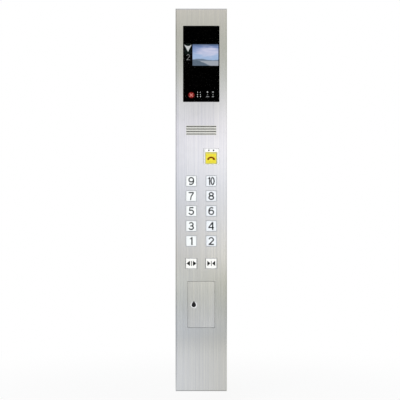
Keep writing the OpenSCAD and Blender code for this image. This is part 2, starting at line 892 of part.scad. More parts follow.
// Housing of a rocker switch, with the bearings of its pin
module rocker_housing() {
    body_y = 13;
    difference() {
        union() {
            slab(20, 28, 2, -1.8, 0);
            slab(rocker_body_w, rocker_body_h, 0.6, 0, body_y);
        }
        plate(rocker_w + 0.8, 2 * rocker_half + 2.6, -3, 5.4);
        translate([-7.4, 0, 0]) rotate([0, 90, 0]) cylinder(r = rocker_pin_r + 0.06, h = 14.8);
    }
    for (z = [-7, 0, 7]) translate([0, 0, z]) plate(0.8, 4.8, body_y, body_y + 6.5);
}

module rocker_housings() {
    color("black") at_rockers() rocker_housing();
}

// Rocker with two flats that meet in a shallow valley, tilted to rest
module rocker(x, z) {
    profile = [[-rocker_half, -5.2], [0, -3.2], [rocker_half, -5.2],
               [rocker_half, 1], [3, 3.5], [-3, 3.5], [-rocker_half, 1]];
    color("crimson")
        translate([leaf_x + x * rocker_dx, panel_plate_y, leaf_z + z * rocker_dz])
        rotate([-rocker_tilt, 0, 0]) {
            translate([rocker_w / 2, 0, 0]) rotate([0, -90, 0])
                linear_extrude(rocker_w) polygon(profile);
            translate([-7.2, 0, 0]) rotate([0, 90, 0]) cylinder(r = rocker_pin_r, h = 14.4);
        }
}

// Lock

module lock_barrel() {
    color("silver") translate([lock_x, 0, lock_z]) difference() {
        union() {
            cone(lock_head_r - 0.8, lock_head_r, front_y - lock_head_t, front_y);
            rod(lock_body_r, front_y, lock_back_y);
        }
        rod(plug_r + 0.06, front_y - 3, lock_back_y + 1);
    }
}

module lock_nut() {
    color("silver") translate([lock_x, 0, lock_z]) difference() {
        translate([0, inner_y + 3, 0]) rotate([90, 0, 0]) cylinder(r = 14, h = 3, $fn = 6);
        rod(lock_body_r + fit, inner_y - 1, inner_y + 4);
    }
}

// Plug with its keyway, the pointer on its face and the spindle for the tongue
module lock_plug() {
    face_y = front_y - lock_head_t;
    drop_points = [[-7.4, 2], [-6, 6.2], [-3.3, 9.4], [-1.2, 12.2], [0, 13.4],
                   [1.2, 12.2], [3.3, 9.4], [6, 6.2], [7.4, 2]];
    color("dimgray") translate([lock_x, 0, lock_z]) difference() {
        union() {
            rod(plug_r, face_y - 0.8, lock_back_y);
            rod(spindle_r, lock_back_y - 0.1, cam_y + cam_t);
            translate([0, face_y - 0.3, 0]) rotate([90, 0, 0]) linear_extrude(0.5)
                polygon(drop_points);
        }
        plate(1.8, 8, face_y - 2, face_y + 5);
    }
}

// Tongue, with the screw that holds it on the spindle
module lock_cam() {
    color("lightgray") translate([lock_x, 0, lock_z]) {
        difference() {
            union() {
                rod(cam_w / 2 + 1.5, cam_y, cam_y + cam_t);
                translate([-cam_w / 2, cam_y, 0]) cube([cam_w, cam_t, tongue_l - 3]);
                translate([0, 0, tongue_l - 6]) rod(cam_w / 2, cam_y, cam_y + cam_t);
            }
            rod(spindle_r + fit, cam_y - 1, cam_y + cam_t + 1);
        }
        difference() {
            rod(5.5, cam_y + cam_t, cam_y + cam_t + 2);
            plate(1, 12, cam_y + cam_t + 1, cam_y + cam_t + 3);
        }
    }
}

// Inside the box

module terminal_block() {
    way = terminal_w / terminal_n;
    color("beige") translate([0, 0, terminal_z]) {
        plate(terminal_w, 26, box_back_y - 12, box_back_y);
        for (i = [0 : terminal_n])
            translate([(i - terminal_n / 2) * (way - 0.2), 0, 0])
                plate(1.6, 26, box_back_y - 17, box_back_y - 12);
    }
}

module terminal_screws() {
    way = terminal_w / terminal_n;
    color("silver") translate([0, 0, terminal_z])
        for (i = [0 : terminal_n - 1], z = [-7, 7])
            translate([(i - (terminal_n - 1) / 2) * (way - 0.2), 0, z]) difference() {
                rod(3, box_back_y - 14, box_back_y - 12);
                plate(0.8, 7, box_back_y - 15, box_back_y - 13.2);
            }
}

// Quarter bend of a lead, from +Z to the front
module loom_bend() {
    translate([0, -loom_bend_r, 0]) rotate([0, -90, 0])
        rotate_extrude(angle = 90) translate([loom_bend_r, 0]) circle(loom_r);
}

// Leads in one sleeve down the back of the box, with taps to the boards
module wiring_loom() {
    end_z = terminal_z + 13;
    tap_y = board_y + board_t + 9;
    top_y = display_board_y + board_t + 9;
    color("dimgray") translate([loom_x, 0, 0]) {
        translate([0, loom_y, end_z]) cylinder(r = loom_r, h = loom_top_z - end_z);
        translate([0, loom_y, loom_top_z]) loom_bend();
        translate([0, 0, loom_top_z + loom_bend_r]) rod(loom_r, top_y, loom_y - loom_bend_r);
        translate([0, 0, loom_tap_z]) rod(loom_r - 0.5, tap_y, loom_y);
    }
}

// Rubber ring in the cable entry
module cable_grommet() {
    color("black") translate([0, 0, entry_z]) difference() {
        union() {
            rod(entry_r + grommet_wall + 2, box_back_y - 2.5, box_back_y);
            rod(entry_r + 2 - fit, box_back_y, box_d);
            rod(entry_r + grommet_wall + 2, box_d, box_d + 2.5);
        }
        rod(entry_r, box_back_y - 5, box_d + 5);
    }
}

module earth_stud() {
    color("goldenrod") translate([45, 0, entry_z]) {
        rod(3, box_back_y - 20, box_back_y);
        translate([0, box_back_y - 4, 0]) difference() {
            rotate([90, 0, 0]) cylinder(r = 5.8, h = 5, $fn = 6);
            rod(3 + fit, -6, 1);
        }
    }
}

faceplate();
back_box();
box_brackets();
faceplate_hooks();
bottom_screws();
weld_studs();
stud_spacers();
stud_nuts();
display_window();
display_bezel();
lcd_screen();
lcd_module();
display_board();
sign_lamp();
speaker_gasket();
speaker_frame();
speaker_cone();
speaker_magnet();
microphone();
alarm_guard();
alarm_lamps();
alarm_board();
floor_button_housings();
door_button_housings();
button_board();
microswitches();
button_leds();
service_tray();
hinge_brackets();
switch_plate();
plate_screws();
rocker_housings();
terminal_block();
terminal_screws();
wiring_loom();
cable_grommet();
earth_stud();
floor_cap(1);  // floor_cap_1
floor_cap(2);  // floor_cap_2
floor_cap(3);  // floor_cap_3
floor_cap(4);  // floor_cap_4
floor_cap(5);  // floor_cap_5
floor_cap(6);  // floor_cap_6
floor_cap(7);  // floor_cap_7
floor_cap(8);  // floor_cap_8
floor_cap(9);  // floor_cap_9
floor_cap(10);  // floor_cap_10
door_cap(-1);  // door_open_cap
door_cap(1);  // door_close_cap
alarm_cap();
service_door();
hinge_pins();
lock_barrel();
lock_nut();
lock_plug();
lock_cam();
rocker(-1, 1);  // light_rocker
rocker(1, 1);  // fan_rocker
rocker(-1, -1);  // attendant_rocker
rocker(1, -1);  // stop_rocker
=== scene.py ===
"""Looks of an elevator car operating panel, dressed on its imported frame.

Seen from the front, +X is to the right, +Z is up and the front faces -Y. Sizes that a
class holds are millimetres, as on a maker's drawing, unless MM or a note turns them into
metres. Meshes are made in metres.
"""

from __future__ import annotations

import json
import logging
import math
from abc import ABC, abstractmethod
from dataclasses import dataclass, field, replace
from enum import Enum
from typing import Sequence, Union

import bmesh
import bpy
from mathutils import Matrix, Vector

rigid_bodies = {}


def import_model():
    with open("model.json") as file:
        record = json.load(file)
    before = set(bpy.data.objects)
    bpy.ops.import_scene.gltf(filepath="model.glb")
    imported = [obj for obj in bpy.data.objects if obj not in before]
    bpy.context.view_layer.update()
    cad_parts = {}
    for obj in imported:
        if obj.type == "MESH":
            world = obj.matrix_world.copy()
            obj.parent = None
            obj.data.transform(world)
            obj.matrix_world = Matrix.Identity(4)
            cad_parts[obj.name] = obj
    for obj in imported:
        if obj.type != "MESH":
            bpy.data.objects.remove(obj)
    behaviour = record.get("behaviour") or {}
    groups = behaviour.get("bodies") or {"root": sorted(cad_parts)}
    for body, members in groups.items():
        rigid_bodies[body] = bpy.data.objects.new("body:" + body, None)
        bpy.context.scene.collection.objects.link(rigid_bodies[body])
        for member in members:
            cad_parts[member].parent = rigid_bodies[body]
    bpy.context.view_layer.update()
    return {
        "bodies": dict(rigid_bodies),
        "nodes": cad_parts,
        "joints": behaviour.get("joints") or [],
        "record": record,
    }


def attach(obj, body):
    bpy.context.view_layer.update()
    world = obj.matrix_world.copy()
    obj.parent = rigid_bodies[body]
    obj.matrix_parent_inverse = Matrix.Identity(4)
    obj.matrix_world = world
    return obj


MM = 0.001

Point = tuple[float, float]
Area = tuple[float, float, float, float]
Range = tuple[float, float]
Span = tuple[float, float, float, float]
Tone = tuple[float, float, float, float]
Value = Union[bpy.types.NodeSocket, float, tuple]

log = logging.getLogger("panel")


def tone(red: int, green: int, blue: int) -> Tone:
    """Turn a screen colour into the linear colour that shaders use.

    Args:
        red: Red from 0 to 255.
        green: Green from 0 to 255.
        blue: Blue from 0 to 255.

    Returns:
        The linear colour with alpha 1.
    """
    def linear(level: int) -> float:
        """Linear value of one channel."""
        part = level / 255
        return part / 12.92 if part <= 0.04045 else ((part + 0.055) / 1.055) ** 2.4

    return linear(red), linear(green), linear(blue), 1.0


# Node trees


class NodeSheet:
    """A node tree that is filled by short calls."""

    def __init__(self, tree: bpy.types.NodeTree) -> None:
        """Start with an empty tree.

        Args:
            tree: The tree of a material, a world or a node group.
        """
        self.tree = tree
        tree.nodes.clear()

    def add(self, kind: str, **settings: object) -> bpy.types.Node:
        """Add a node.

        Args:
            kind: Blender's type name of the node.
            **settings: Properties of the node and their values.

        Returns:
            The new node.
        """
        node = self.tree.nodes.new(kind)
        for name, value in settings.items():
            setattr(node, name, value)
        return node

    def put(self, value: Value, socket: bpy.types.NodeSocket) -> None:
        """Link a socket to an input, or set the input to a plain value.

        Args:
            value: The socket or the plain value.
            socket: The input.
        """
        if isinstance(value, bpy.types.NodeSocket):
            self.tree.links.new(value, socket)
        else:
            socket.default_value = value

    def wire(self, node: bpy.types.Node, inputs: dict[str, Value]) -> None:
        """Fill the inputs of a node by their names."""
        for name, value in inputs.items():
            self.put(value, node.inputs[name])

    def coords(self) -> bpy.types.NodeSocket:
        """Return the coordinates of the piece itself, in metres."""
        return self.add("ShaderNodeTexCoord").outputs["Object"]

    def split(self, vector: Value) -> tuple[bpy.types.NodeSocket, ...]:
        """Take a vector apart.

        Args:
            vector: The vector.

        Returns:
            Its X, Y and Z.
        """
        node = self.add("ShaderNodeSeparateXYZ")
        self.put(vector, node.inputs[0])
        return tuple(node.outputs)

    def join(self, x: Value, y: Value, z: Value) -> bpy.types.NodeSocket:
        """Make a vector of three values.

        Args:
            x: Its X.
            y: Its Y.
            z: Its Z.

        Returns:
            The vector.
        """
        node = self.add("ShaderNodeCombineXYZ")
        for value, socket in zip((x, y, z), node.inputs):
            self.put(value, socket)
        return node.outputs[0]

    def scaled(self, vector: Value, size: Value) -> bpy.types.NodeSocket:
        """Count coordinates in units of a size.

        Args:
            vector: The coordinates.
            size: The size.

        Returns:
            The coordinates divided by the size.
        """
        node = self.add("ShaderNodeVectorMath", operation="DIVIDE")
        self.put(vector, node.inputs[0])
        self.put(self.join(size, size, size), node.inputs[1])
        return node.outputs[0]

    def math(self, operation: str, a: Value, b: Value = 0.0, clamp: bool = False,
             c: Value = 0.0) -> bpy.types.NodeSocket:
        """Combine values.

        Args:
            operation: Name of the math node's operation.
            a: First value.
            b: Second value.
            clamp: Whether the result is kept from 0 to 1.
            c: Third value, for the operations that take one.

        Returns:
            The result.
        """
        node = self.add("ShaderNodeMath", operation=operation, use_clamp=clamp)
        for value, socket in zip((a, b, c), node.inputs):
            self.put(value, socket)
        return node.outputs[0]

    def plus(self, a: Value, b: Value) -> bpy.types.NodeSocket:
        """Return the sum of two values."""
        return self.math("ADD", a, b)

    def minus(self, a: Value, b: Value) -> bpy.types.NodeSocket:
        """Return the first value less the second."""
        return self.math("SUBTRACT", a, b)

    def times(self, a: Value, b: Value) -> bpy.types.NodeSocket:
        """Return the product of two values."""
        return self.math("MULTIPLY", a, b)

    def radius(self, a: Value, b: Value, centre: tuple[Value, Value]) -> bpy.types.NodeSocket:
        """Measure how far a place is from a centre.

        Args:
            a: First coordinate of the place.
            b: Second coordinate of the place.
            centre: The two coordinates of the centre.

        Returns:
            The distance.
        """
        squares = [self.math("POWER", self.minus(place, middle), 2.0)
                   for place, middle in zip((a, b), centre)]
        return self.math("SQRT", self.plus(*squares))

    def mix(self, factor: Value, a: Value, b: Value, blend: str = "MIX") -> bpy.types.NodeSocket:
        """Mix two colours.

        Args:
            factor: Share of the second colour.
            a: First colour.
            b: Second colour.
            blend: Name of the blend mode.

        Returns:
            The mixed colour.
        """
        node = self.add("ShaderNodeMix", data_type="RGBA", blend_type=blend)
        self.put(factor, node.inputs[0])
        self.put(a, node.inputs[6])
        self.put(b, node.inputs[7])
        return node.outputs[2]

    def noise(self, vector: Value, scale: float = 1.0, detail: float = 2.0,
              roughness: float = 0.5, distortion: float = 0.0) -> bpy.types.NodeSocket:
        """Return smooth noise from 0 to 1.

        Args:
            vector: Coordinates.
            scale: Features for each unit.
            detail: Number of finer layers.
            roughness: Strength of the finer layers.
            distortion: Bending of the pattern.

        Returns:
            The noise value.
        """
        node = self.add("ShaderNodeTexNoise")
        self.wire(node, {"Vector": vector, "Scale": scale, "Detail": detail,
                         "Roughness": roughness, "Distortion": distortion})
        return node.outputs[0]

    def cells(self, vector: Value, scale: float, output: str = "Distance",
              feature: str = "F1") -> bpy.types.NodeSocket:
        """Return a value or colour of a cell pattern.

        Args:
            vector: Coordinates.
            scale: Cells for each unit.
            output: Name of the output.
            feature: Name of the feature.

        Returns:
            The chosen output.
        """
        node = self.add("ShaderNodeTexVoronoi", feature=feature)
        self.wire(node, {"Vector": vector, "Scale": scale})
        return node.outputs[output]

    def span(self, value: Value, low: float, high: float, out_low: float = 0.0,
             out_high: float = 1.0, smooth: bool = False) -> bpy.types.NodeSocket:
        """Map a value from one span to another and clamp it there.

        Args:
            value: The value.
            low: Start of its span.
            high: End of its span.
            out_low: Result at the start.
            out_high: Result at the end.
            smooth: Whether the ends are eased.

        Returns:
            The mapped value.
        """
        kind = "SMOOTHSTEP" if smooth else "LINEAR"
        node = self.add("ShaderNodeMapRange", interpolation_type=kind)
        for item, socket in zip((value, low, high, out_low, out_high), node.inputs):
            self.put(item, socket)
        return node.outputs[0]

    def between(self, mask: Value, low: float, high: float) -> bpy.types.NodeSocket:
        """Return a value that a mask moves from a low to a high one."""
        return self.span(mask, 0.0, 1.0, low, high)

    def ramp(self, value: Value, stops: Sequence[tuple[float, Tone]]) -> bpy.types.NodeSocket:
        """Return a colour that changes with a value.

        Args:
            value: Position from 0 to 1.
            stops: Positions and their colours, in rising order.

        Returns:
            The colour.
        """
        node = self.add("ShaderNodeValToRGB")
        self.put(value, node.inputs[0])
        elements = node.color_ramp.elements
        while len(elements) < len(stops):
            elements.new(0.5)
        for element, (place, colour) in zip(elements, stops):
            element.position = place
            element.color = colour
        return node.outputs[0]

    def bump(self, height: Value, depth: float, strength: float = 1.0) -> bpy.types.NodeSocket:
        """Return a normal that follows a height.

        Args:
            height: Height from 0 to 1.
            depth: Real depth of the relief in metres.
            strength: Strength of the effect.

        Returns:
            The normal.
        """
        node = self.add("ShaderNodeBump")
        self.wire(node, {"Strength": strength, "Distance": depth, "Height": height})
        return node.outputs[0]

    def box_mask(self, x: Value, z: Value, area: Area) -> bpy.types.NodeSocket:
        """Return 1 inside a rectangle of the front view and 0 outside.

        Args:
            x: Place across, in metres.
            z: Height, in metres.
            area: Left, right, low and high edge in millimetres.

        Returns:
            The mask.
        """
        left, right, low, high = (edge * MM for edge in area)
        across = self.math("COMPARE", x, (left + right) / 2, c=(right - left) / 2)
        upright = self.math("COMPARE", z, (low + high) / 2, c=(high - low) / 2)
        return self.times(across, upright)


# Effects that several finishes share


class Effect(Enum):
    """Names of the shared node groups."""

    BRUSHING = "brushing"
    HANDLING = "handling"
    MOULDING = "moulding"
    SPANGLE = "spangle"
    TURNING = "turning"
    ROLLED_EDGE = "rolled_edge"


class EffectLibrary:
    """The shared node groups, each built once."""

    def __init__(self) -> None:
        """Start with no group."""
        self._trees: dict[Effect, bpy.types.NodeTree] = {}
        self._makers = {
            Effect.BRUSHING: self._brushing,
            Effect.HANDLING: self._handling,
            Effect.MOULDING: self._moulding,
            Effect.SPANGLE: self._spangle,
            Effect.TURNING: self._turning,
            Effect.ROLLED_EDGE: self._rolled_edge,
        }

    def place(self, sheet: NodeSheet, effect: Effect, coords: Value,
              **sizes: float) -> dict[str, bpy.types.NodeSocket]:
        """Put a group into a material.

        Args:
            sheet: The material's nodes.
            effect: Which effect.
            coords: Coordinates that it follows.
            **sizes: Values of its other inputs, in words joined by underscores.

        Returns:
            The group's outputs by name.
        """
        if effect not in self._trees:
            self._trees[effect] = self._makers[effect]()
        node = sheet.add("ShaderNodeGroup", node_tree=self._trees[effect])
        sheet.put(coords, node.inputs["Coordinates"])
        for name, value in sizes.items():
            sheet.put(value, node.inputs[name.replace("_", " ").title()])
        return {socket.name: socket for socket in node.outputs}

    @staticmethod
    def _open(effect: Effect, sizes: dict[str, float],
              outputs: Sequence[str]) -> tuple[NodeSheet, dict, bpy.types.Node]:
        """Make an empty group.

        Args:
            effect: Which effect.
            sizes: Names of the value inputs and their usual values.
            outputs: Names of the value outputs.

        Returns:
            The sheet, the inputs by name and the output node.
        """
        tree = bpy.data.node_groups.new(effect.value, "ShaderNodeTree")
        sheet = NodeSheet(tree)
        tree.interface.new_socket("Coordinates", in_out="INPUT", socket_type="NodeSocketVector")
        for name, usual in sizes.items():
            socket = tree.interface.new_socket(name, in_out="INPUT",
                                               socket_type="NodeSocketFloat")
            socket.default_value = usual
        for name in outputs:
            tree.interface.new_socket(name, in_out="OUTPUT", socket_type="NodeSocketFloat")
        start = sheet.add("NodeGroupInput")
        inputs = {socket.name: socket for socket in start.outputs if socket.name}
        return sheet, inputs, sheet.add("NodeGroupOutput")

    def _brushing(self) -> bpy.types.NodeTree:
        """Build the grain that runs along Z: fine lines, broad bands and a relief.

        Returns:
            The group.
        """
        sheet, given, result = self._open(
            Effect.BRUSHING, {"Line Width": 0.3 * MM, "Band Width": 3 * MM, "Length": 80 * MM},
            ("Lines", "Bands", "Height"))
        x, y, z = sheet.split(given["Coordinates"])
        longer, wider, far_longer = 2.4, 2.7, 9.0
        line_share, long_share = 0.6, 0.4
        line_levels, band_levels = (0.25, 0.75), (0.3, 0.7)

        def streaks(width: Value, length: Value, detail: float) -> bpy.types.NodeSocket:
            """Stretch noise along Z.

            Args:
                width: Width of a streak.
                length: Its length.
                detail: Number of finer layers.

            Returns:
                The noise value.
            """
            across, depth = (sheet.math("DIVIDE", place, width) for place in (x, y))
            along = sheet.math("DIVIDE", z, length)
            return sheet.noise(sheet.join(across, depth, along), detail=detail)

        lines = streaks(given["Line Width"], given["Length"], 3.0)
        long_lines = streaks(sheet.times(given["Line Width"], wider),
                             sheet.times(given["Length"], longer), 2.0)
        bands = streaks(given["Band Width"], sheet.times(given["Length"], far_longer), 3.0)
        sheet.wire(result, {
            "Lines": sheet.span(lines, *line_levels),
            "Bands": sheet.span(bands, *band_levels),
            "Height": sheet.plus(sheet.times(lines, line_share),
                                 sheet.times(long_lines, long_share)),
        })
        return sheet.tree

    def _handling(self) -> bpy.types.NodeTree:
        """Build faint smudges and small specks of dust.

        Returns:
            The group.
        """
        sheet, given, result = self._open(Effect.HANDLING, {"Size": 60 * MM},
                                          ("Smudge", "Specks"))
        dots, dot_edge = 34.0, (0.1, 0.04)
        gatherings, gathering_edge = 9.0, (0.58, 0.66)
        smudge_edge = (0.5, 0.75)
        place = sheet.scaled(given["Coordinates"], given["Size"])
        cloud = sheet.noise(place, detail=4.0, roughness=0.6, distortion=0.7)
        spot = sheet.span(sheet.cells(place, dots), *dot_edge)
        some = sheet.span(sheet.noise(place, scale=gatherings), *gathering_edge)
        sheet.wire(result, {"Smudge": sheet.span(cloud, *smudge_edge, smooth=True),
                            "Specks": sheet.times(spot, some)})
        return sheet.tree

    def _moulding(self) -> bpy.types.NodeTree:
        """Build the fine texture of a moulded surface, with slow changes of tone.

        Returns:
            The group.
        """
        sheet, given, result = self._open(Effect.MOULDING, {"Grain": 0.4 * MM},
                                          ("Shade", "Height"))
        fine_share, slow_share, slow_changes, levels = 0.35, 0.65, 28.0, (0.3, 0.7)
        fine = sheet.noise(sheet.scaled(given["Coordinates"], given["Grain"]))
        slow = sheet.noise(given["Coordinates"], scale=slow_changes, detail=3.0)
        shade = sheet.plus(sheet.times(fine, fine_share), sheet.times(slow, slow_share))
        sheet.wire(result, {"Shade": sheet.span(shade, *levels), "Height": fine})
        return sheet.tree

    def _spangle(self) -> bpy.types.NodeTree:
        """Build the crystals of a zinc coat: a value for each crystal and its border.

        Returns:
            The group.
        """
        sheet, given, result = self._open(Effect.SPANGLE, {"Crystal": 6 * MM},
                                          ("Crystal", "Border"))
        bends, border = 1.6, 0.06
        place = sheet.scaled(given["Coordinates"], given["Crystal"])
        bent = sheet.add("ShaderNodeVectorMath", operation="ADD")
        sheet.put(place, bent.inputs[0])
        sheet.put(sheet.noise(place, scale=bends, detail=3.0), bent.inputs[1])
        channels = sheet.add("ShaderNodeSeparateColor")
        sheet.put(sheet.cells(bent.outputs[0], 1.0, "Color"), channels.inputs[0])
        edge = sheet.cells(bent.outputs[0], 1.0, feature="DISTANCE_TO_EDGE")
        sheet.wire(result, {"Crystal": channels.outputs[0],
                            "Border": sheet.span(edge, 0.0, border, 1.0, 0.0)})
        return sheet.tree

    def _turning(self) -> bpy.types.NodeTree:
        """Build the rings that a lathe leaves round an axis along Y.

        Returns:
            The group.
        """
        sheet, given, result = self._open(
            Effect.TURNING, {"Centre X": 0.0, "Centre Z": 0.0, "Pitch": 0.2 * MM},
            ("Rings", "Height"))
        levels = (0.3, 0.7)
        x, _, z = sheet.split(given["Coordinates"])
        radius = sheet.radius(x, z, (given["Centre X"], given["Centre Z"]))
        turns = sheet.join(sheet.math("DIVIDE", radius, given["Pitch"]), 0.0, 0.0)
        rings = sheet.noise(turns, detail=3.0)
        sheet.wire(result, {"Rings": sheet.span(rings, *levels), "Height": rings})
        return sheet.tree

    def _rolled_edge(self) -> bpy.types.NodeTree:
        """Build the mask of what turns away from the front: rolled edges and side walls.

        Returns:
            The group.
        """
        sheet, given, result = self._open(Effect.ROLLED_EDGE, {"Reach": 0.3}, ("Edge",))
        waves, unevenness, start = 600.0, 0.04, 0.03
        normal = sheet.add("ShaderNodeTexCoord").outputs["Normal"]
        front = sheet.math("ABSOLUTE", sheet.split(normal)[1])
        uneven = sheet.times(sheet.noise(given["Coordinates"], scale=waves), unevenness)
        turn = sheet.plus(sheet.minus(1.0, front), uneven)
        sheet.put(sheet.span(turn, start, given["Reach"]), result.inputs["Edge"])
        return sheet.tree


# Finishes


class Grain(Enum):
    """Direction of the grain of brushed metal."""

    UPRIGHT = "upright"
    ACROSS = "across"


@dataclass(frozen=True)
class Finish(ABC):
    """A surface finish, made into a material once for each name."""

    name: str

    def make(self, effects: EffectLibrary) -> bpy.types.Material:
        """Build the material.

        Args:
            effects: The shared node groups.

        Returns:
            The material.
        """
        material = bpy.data.materials.new(self.name)
        material.use_nodes = True
        sheet = NodeSheet(material.node_tree)
        shader = sheet.add("ShaderNodeBsdfPrincipled")
        output = sheet.add("ShaderNodeOutputMaterial")
        sheet.put(shader.outputs[0], output.inputs["Surface"])
        self.fill(sheet, shader, effects)
        return material

    @abstractmethod
    def fill(self, sheet: NodeSheet, shader: bpy.types.Node, effects: EffectLibrary) -> None:
        """Add the finish's own nodes.

        Args:
            sheet: The material's nodes.
            shader: Its surface shader.
            effects: The shared node groups.
        """


@dataclass(frozen=True)
class BrushedSteel(Finish):
    """Stainless sheet with hairline grain."""

    warm: Tone = tone(231, 231, 228)
    cool: Tone = tone(216, 217, 219)
    groove: Tone = tone(196, 196, 194)
    grain: Grain = Grain.UPRIGHT
    roughness: float = 0.2
    spread: float = 0.9
    line_width: float = 0.4 * MM
    band_width: float = 4.5 * MM
    length: float = 70 * MM
    contrast: float = 0.45
    smoother: float = 0.03
    rougher: float = 0.04
    smudge: float = 90 * MM
    smudge_rougher: float = 0.03
    relief: float = 0.004 * MM

    def fill(self, sheet: NodeSheet, shader: bpy.types.Node, effects: EffectLibrary) -> None:
        """Grain in colour, roughness and relief, with gloss stretched across the grain.

        Args:
            sheet: The material's nodes.
            shader: Its surface shader.
            effects: The shared node groups.
        """
        coords = sheet.coords()
        if self.grain is Grain.ACROSS:
            x, y, z = sheet.split(coords)
            along, axis = sheet.join(z, y, x), "X"
        else:
            along, axis = coords, "Z"
        brushed = effects.place(sheet, Effect.BRUSHING, along, line_width=self.line_width,
                                band_width=self.band_width, length=self.length)
        marks = effects.place(sheet, Effect.HANDLING, coords, size=self.smudge)
        base = sheet.mix(brushed["Bands"], self.warm, self.cool)
        deep = sheet.times(sheet.span(brushed["Lines"], 0.65, 0.1), self.contrast)
        base = sheet.mix(deep, base, self.groove)
        rough = sheet.between(brushed["Lines"], self.roughness - self.smoother,
                              self.roughness + self.rougher)
        tangent = sheet.add("ShaderNodeTangent", direction_type="RADIAL", axis=axis)
        sheet.wire(shader, {
            "Base Color": self.shade(sheet, base),
            "Roughness": sheet.plus(rough, sheet.times(marks["Smudge"], self.smudge_rougher)),
            "Normal": sheet.bump(brushed["Height"], self.relief),
            "Tangent": tangent.outputs[0],
            "Anisotropic": self.spread,
            "Metallic": 1.0,
        })

    def shade(self, sheet: NodeSheet, base: Value) -> Value:
        """Return the base colour as it is."""
        return base


@dataclass(frozen=True)
class SoftPatch:
    """A rectangle on the sheet, soft at its edges, that takes a tint of painted shade.

    Each pair of reaches, in millimetres from the middle, is where the patch ends and where
    it is at its full strength.
    """

    middle: Point
    across: Range
    upright: Range
    tint: Tone

    def mask(self, sheet: NodeSheet, x: Value, z: Value) -> Value:
        """Return one on the patch and nothing outside it.

        Args:
            sheet: The material's nodes.
            x: The distance across the sheet.
            z: The height.

        Returns:
            The mask.
        """
        mask: Value = 1.0
        for place, middle, (outer, inner) in ((x, self.middle[0], self.across),
                                              (z, self.middle[1], self.upright)):
            away = sheet.math("ABSOLUTE", sheet.minus(place, middle * MM))
            mask = sheet.times(sheet.span(away, outer * MM, inner * MM), mask)
        return mask


@dataclass(frozen=True)
class RolledSteel(BrushedSteel):
    """Brushed sheet with painted reflection edge to edge, and painted shade by window and slots.
    """

    # Painted reflection: scale of the sheet's colour at the low left and right, the high left and
    # right, and above the fade.
    low_left: Tone = (1.02, 1.04, 1.08, 1.0)
    low_right: Tone = (0.885, 0.88, 0.85, 1.0)
    high_left: Tone = (0.86, 0.87, 0.90, 1.0)
    high_right: Tone = (1.0, 1.0, 1.0, 1.0)
    even: Tone = (0.93, 0.93, 0.94, 1.0)
    half_width: float = 90 * MM
    turn: Range = (-310.0, -190.0)
    fade: Range = (270.0, 430.0)
    # Painted shade on the sheet below the window.
    darker_patch: SoftPatch = SoftPatch((4.0, 300.0), (78.0, 42.0), (100.0, 40.0),
                                (0.915, 0.915, 0.925, 1.0))
    # Painted shade round the speaker slots.
    slot_shade: SoftPatch = SoftPatch((0.0, 243.5), (54.0, 52.0), (18.5, 15.5),
                                 (0.93, 0.94, 0.84, 1.0))

    def shade(self, sheet: NodeSheet, base: Value) -> Value:
        """Paint the reflection left to right and low to high, and the shade by window and slots.

        Args:
            sheet: The material's nodes.
            base: The colour of the grain.

        Returns:
            The colour with its painted reflection and shade.
        """
        x, _, z = sheet.split(sheet.coords())
        # Painted reflection: the colour scaled from left to right and from low to high.
        right = sheet.span(x, -self.half_width, self.half_width)
        low = sheet.mix(right, self.low_left, self.low_right)
        high = sheet.mix(right, self.high_left, self.high_right)
        turn = sheet.span(z, self.turn[0] * MM, self.turn[1] * MM, smooth=True)
        fade = sheet.span(z, self.fade[0] * MM, self.fade[1] * MM, smooth=True)
        drift = sheet.mix(fade, sheet.mix(turn, low, high), self.even)
        base = sheet.mix(1.0, base, drift, "MULTIPLY")
        # Painted shade below the window and round the slots.
        for patch in (self.darker_patch, self.slot_shade):
            base = sheet.mix(patch.mask(sheet, x, z), base, patch.tint, "MULTIPLY")
        return base


@dataclass(frozen=True)
class PlatedMetal(Finish):
    """Zinc-coated sheet or plated steel, with crystals and dull patches."""

    bright: Tone = tone(206, 209, 212)
    dull: Tone = tone(168, 172, 176)
    crystal: float = 7 * MM
    roughness: float = 0.34
    smoother: float = 0.06
    rougher: float = 0.08
    patch: float = 40 * MM
    patch_cover: float = 0.45
    patch_rougher: float = 0.1
    relief: float = 0.02 * MM

    def fill(self, sheet: NodeSheet, shader: bpy.types.Node, effects: EffectLibrary) -> None:
        """Crystals in colour and roughness, smudges and a faint relief.

        Args:
            sheet: The material's nodes.
            shader: Its surface shader.
            effects: The shared node groups.
        """
        coords = sheet.coords()
        coat = effects.place(sheet, Effect.SPANGLE, coords, crystal=self.crystal)
        marks = effects.place(sheet, Effect.HANDLING, coords, size=self.patch)
        base = sheet.mix(coat["Crystal"], self.bright, self.dull)
        rough = sheet.between(coat["Crystal"], self.roughness - self.smoother,
                              self.roughness + self.rougher)
        rough = sheet.plus(rough, sheet.times(marks["Smudge"], self.patch_rougher))
        darker_patch = sheet.times(marks["Smudge"], self.patch_cover)
        height = sheet.minus(coat["Crystal"], coat["Border"])
        sheet.wire(shader, {
            "Base Color": sheet.mix(darker_patch, base, self.dull),
            "Roughness": rough,
            "Normal": sheet.bump(height, self.relief, 0.5),
            "Metallic": 1.0,
        })


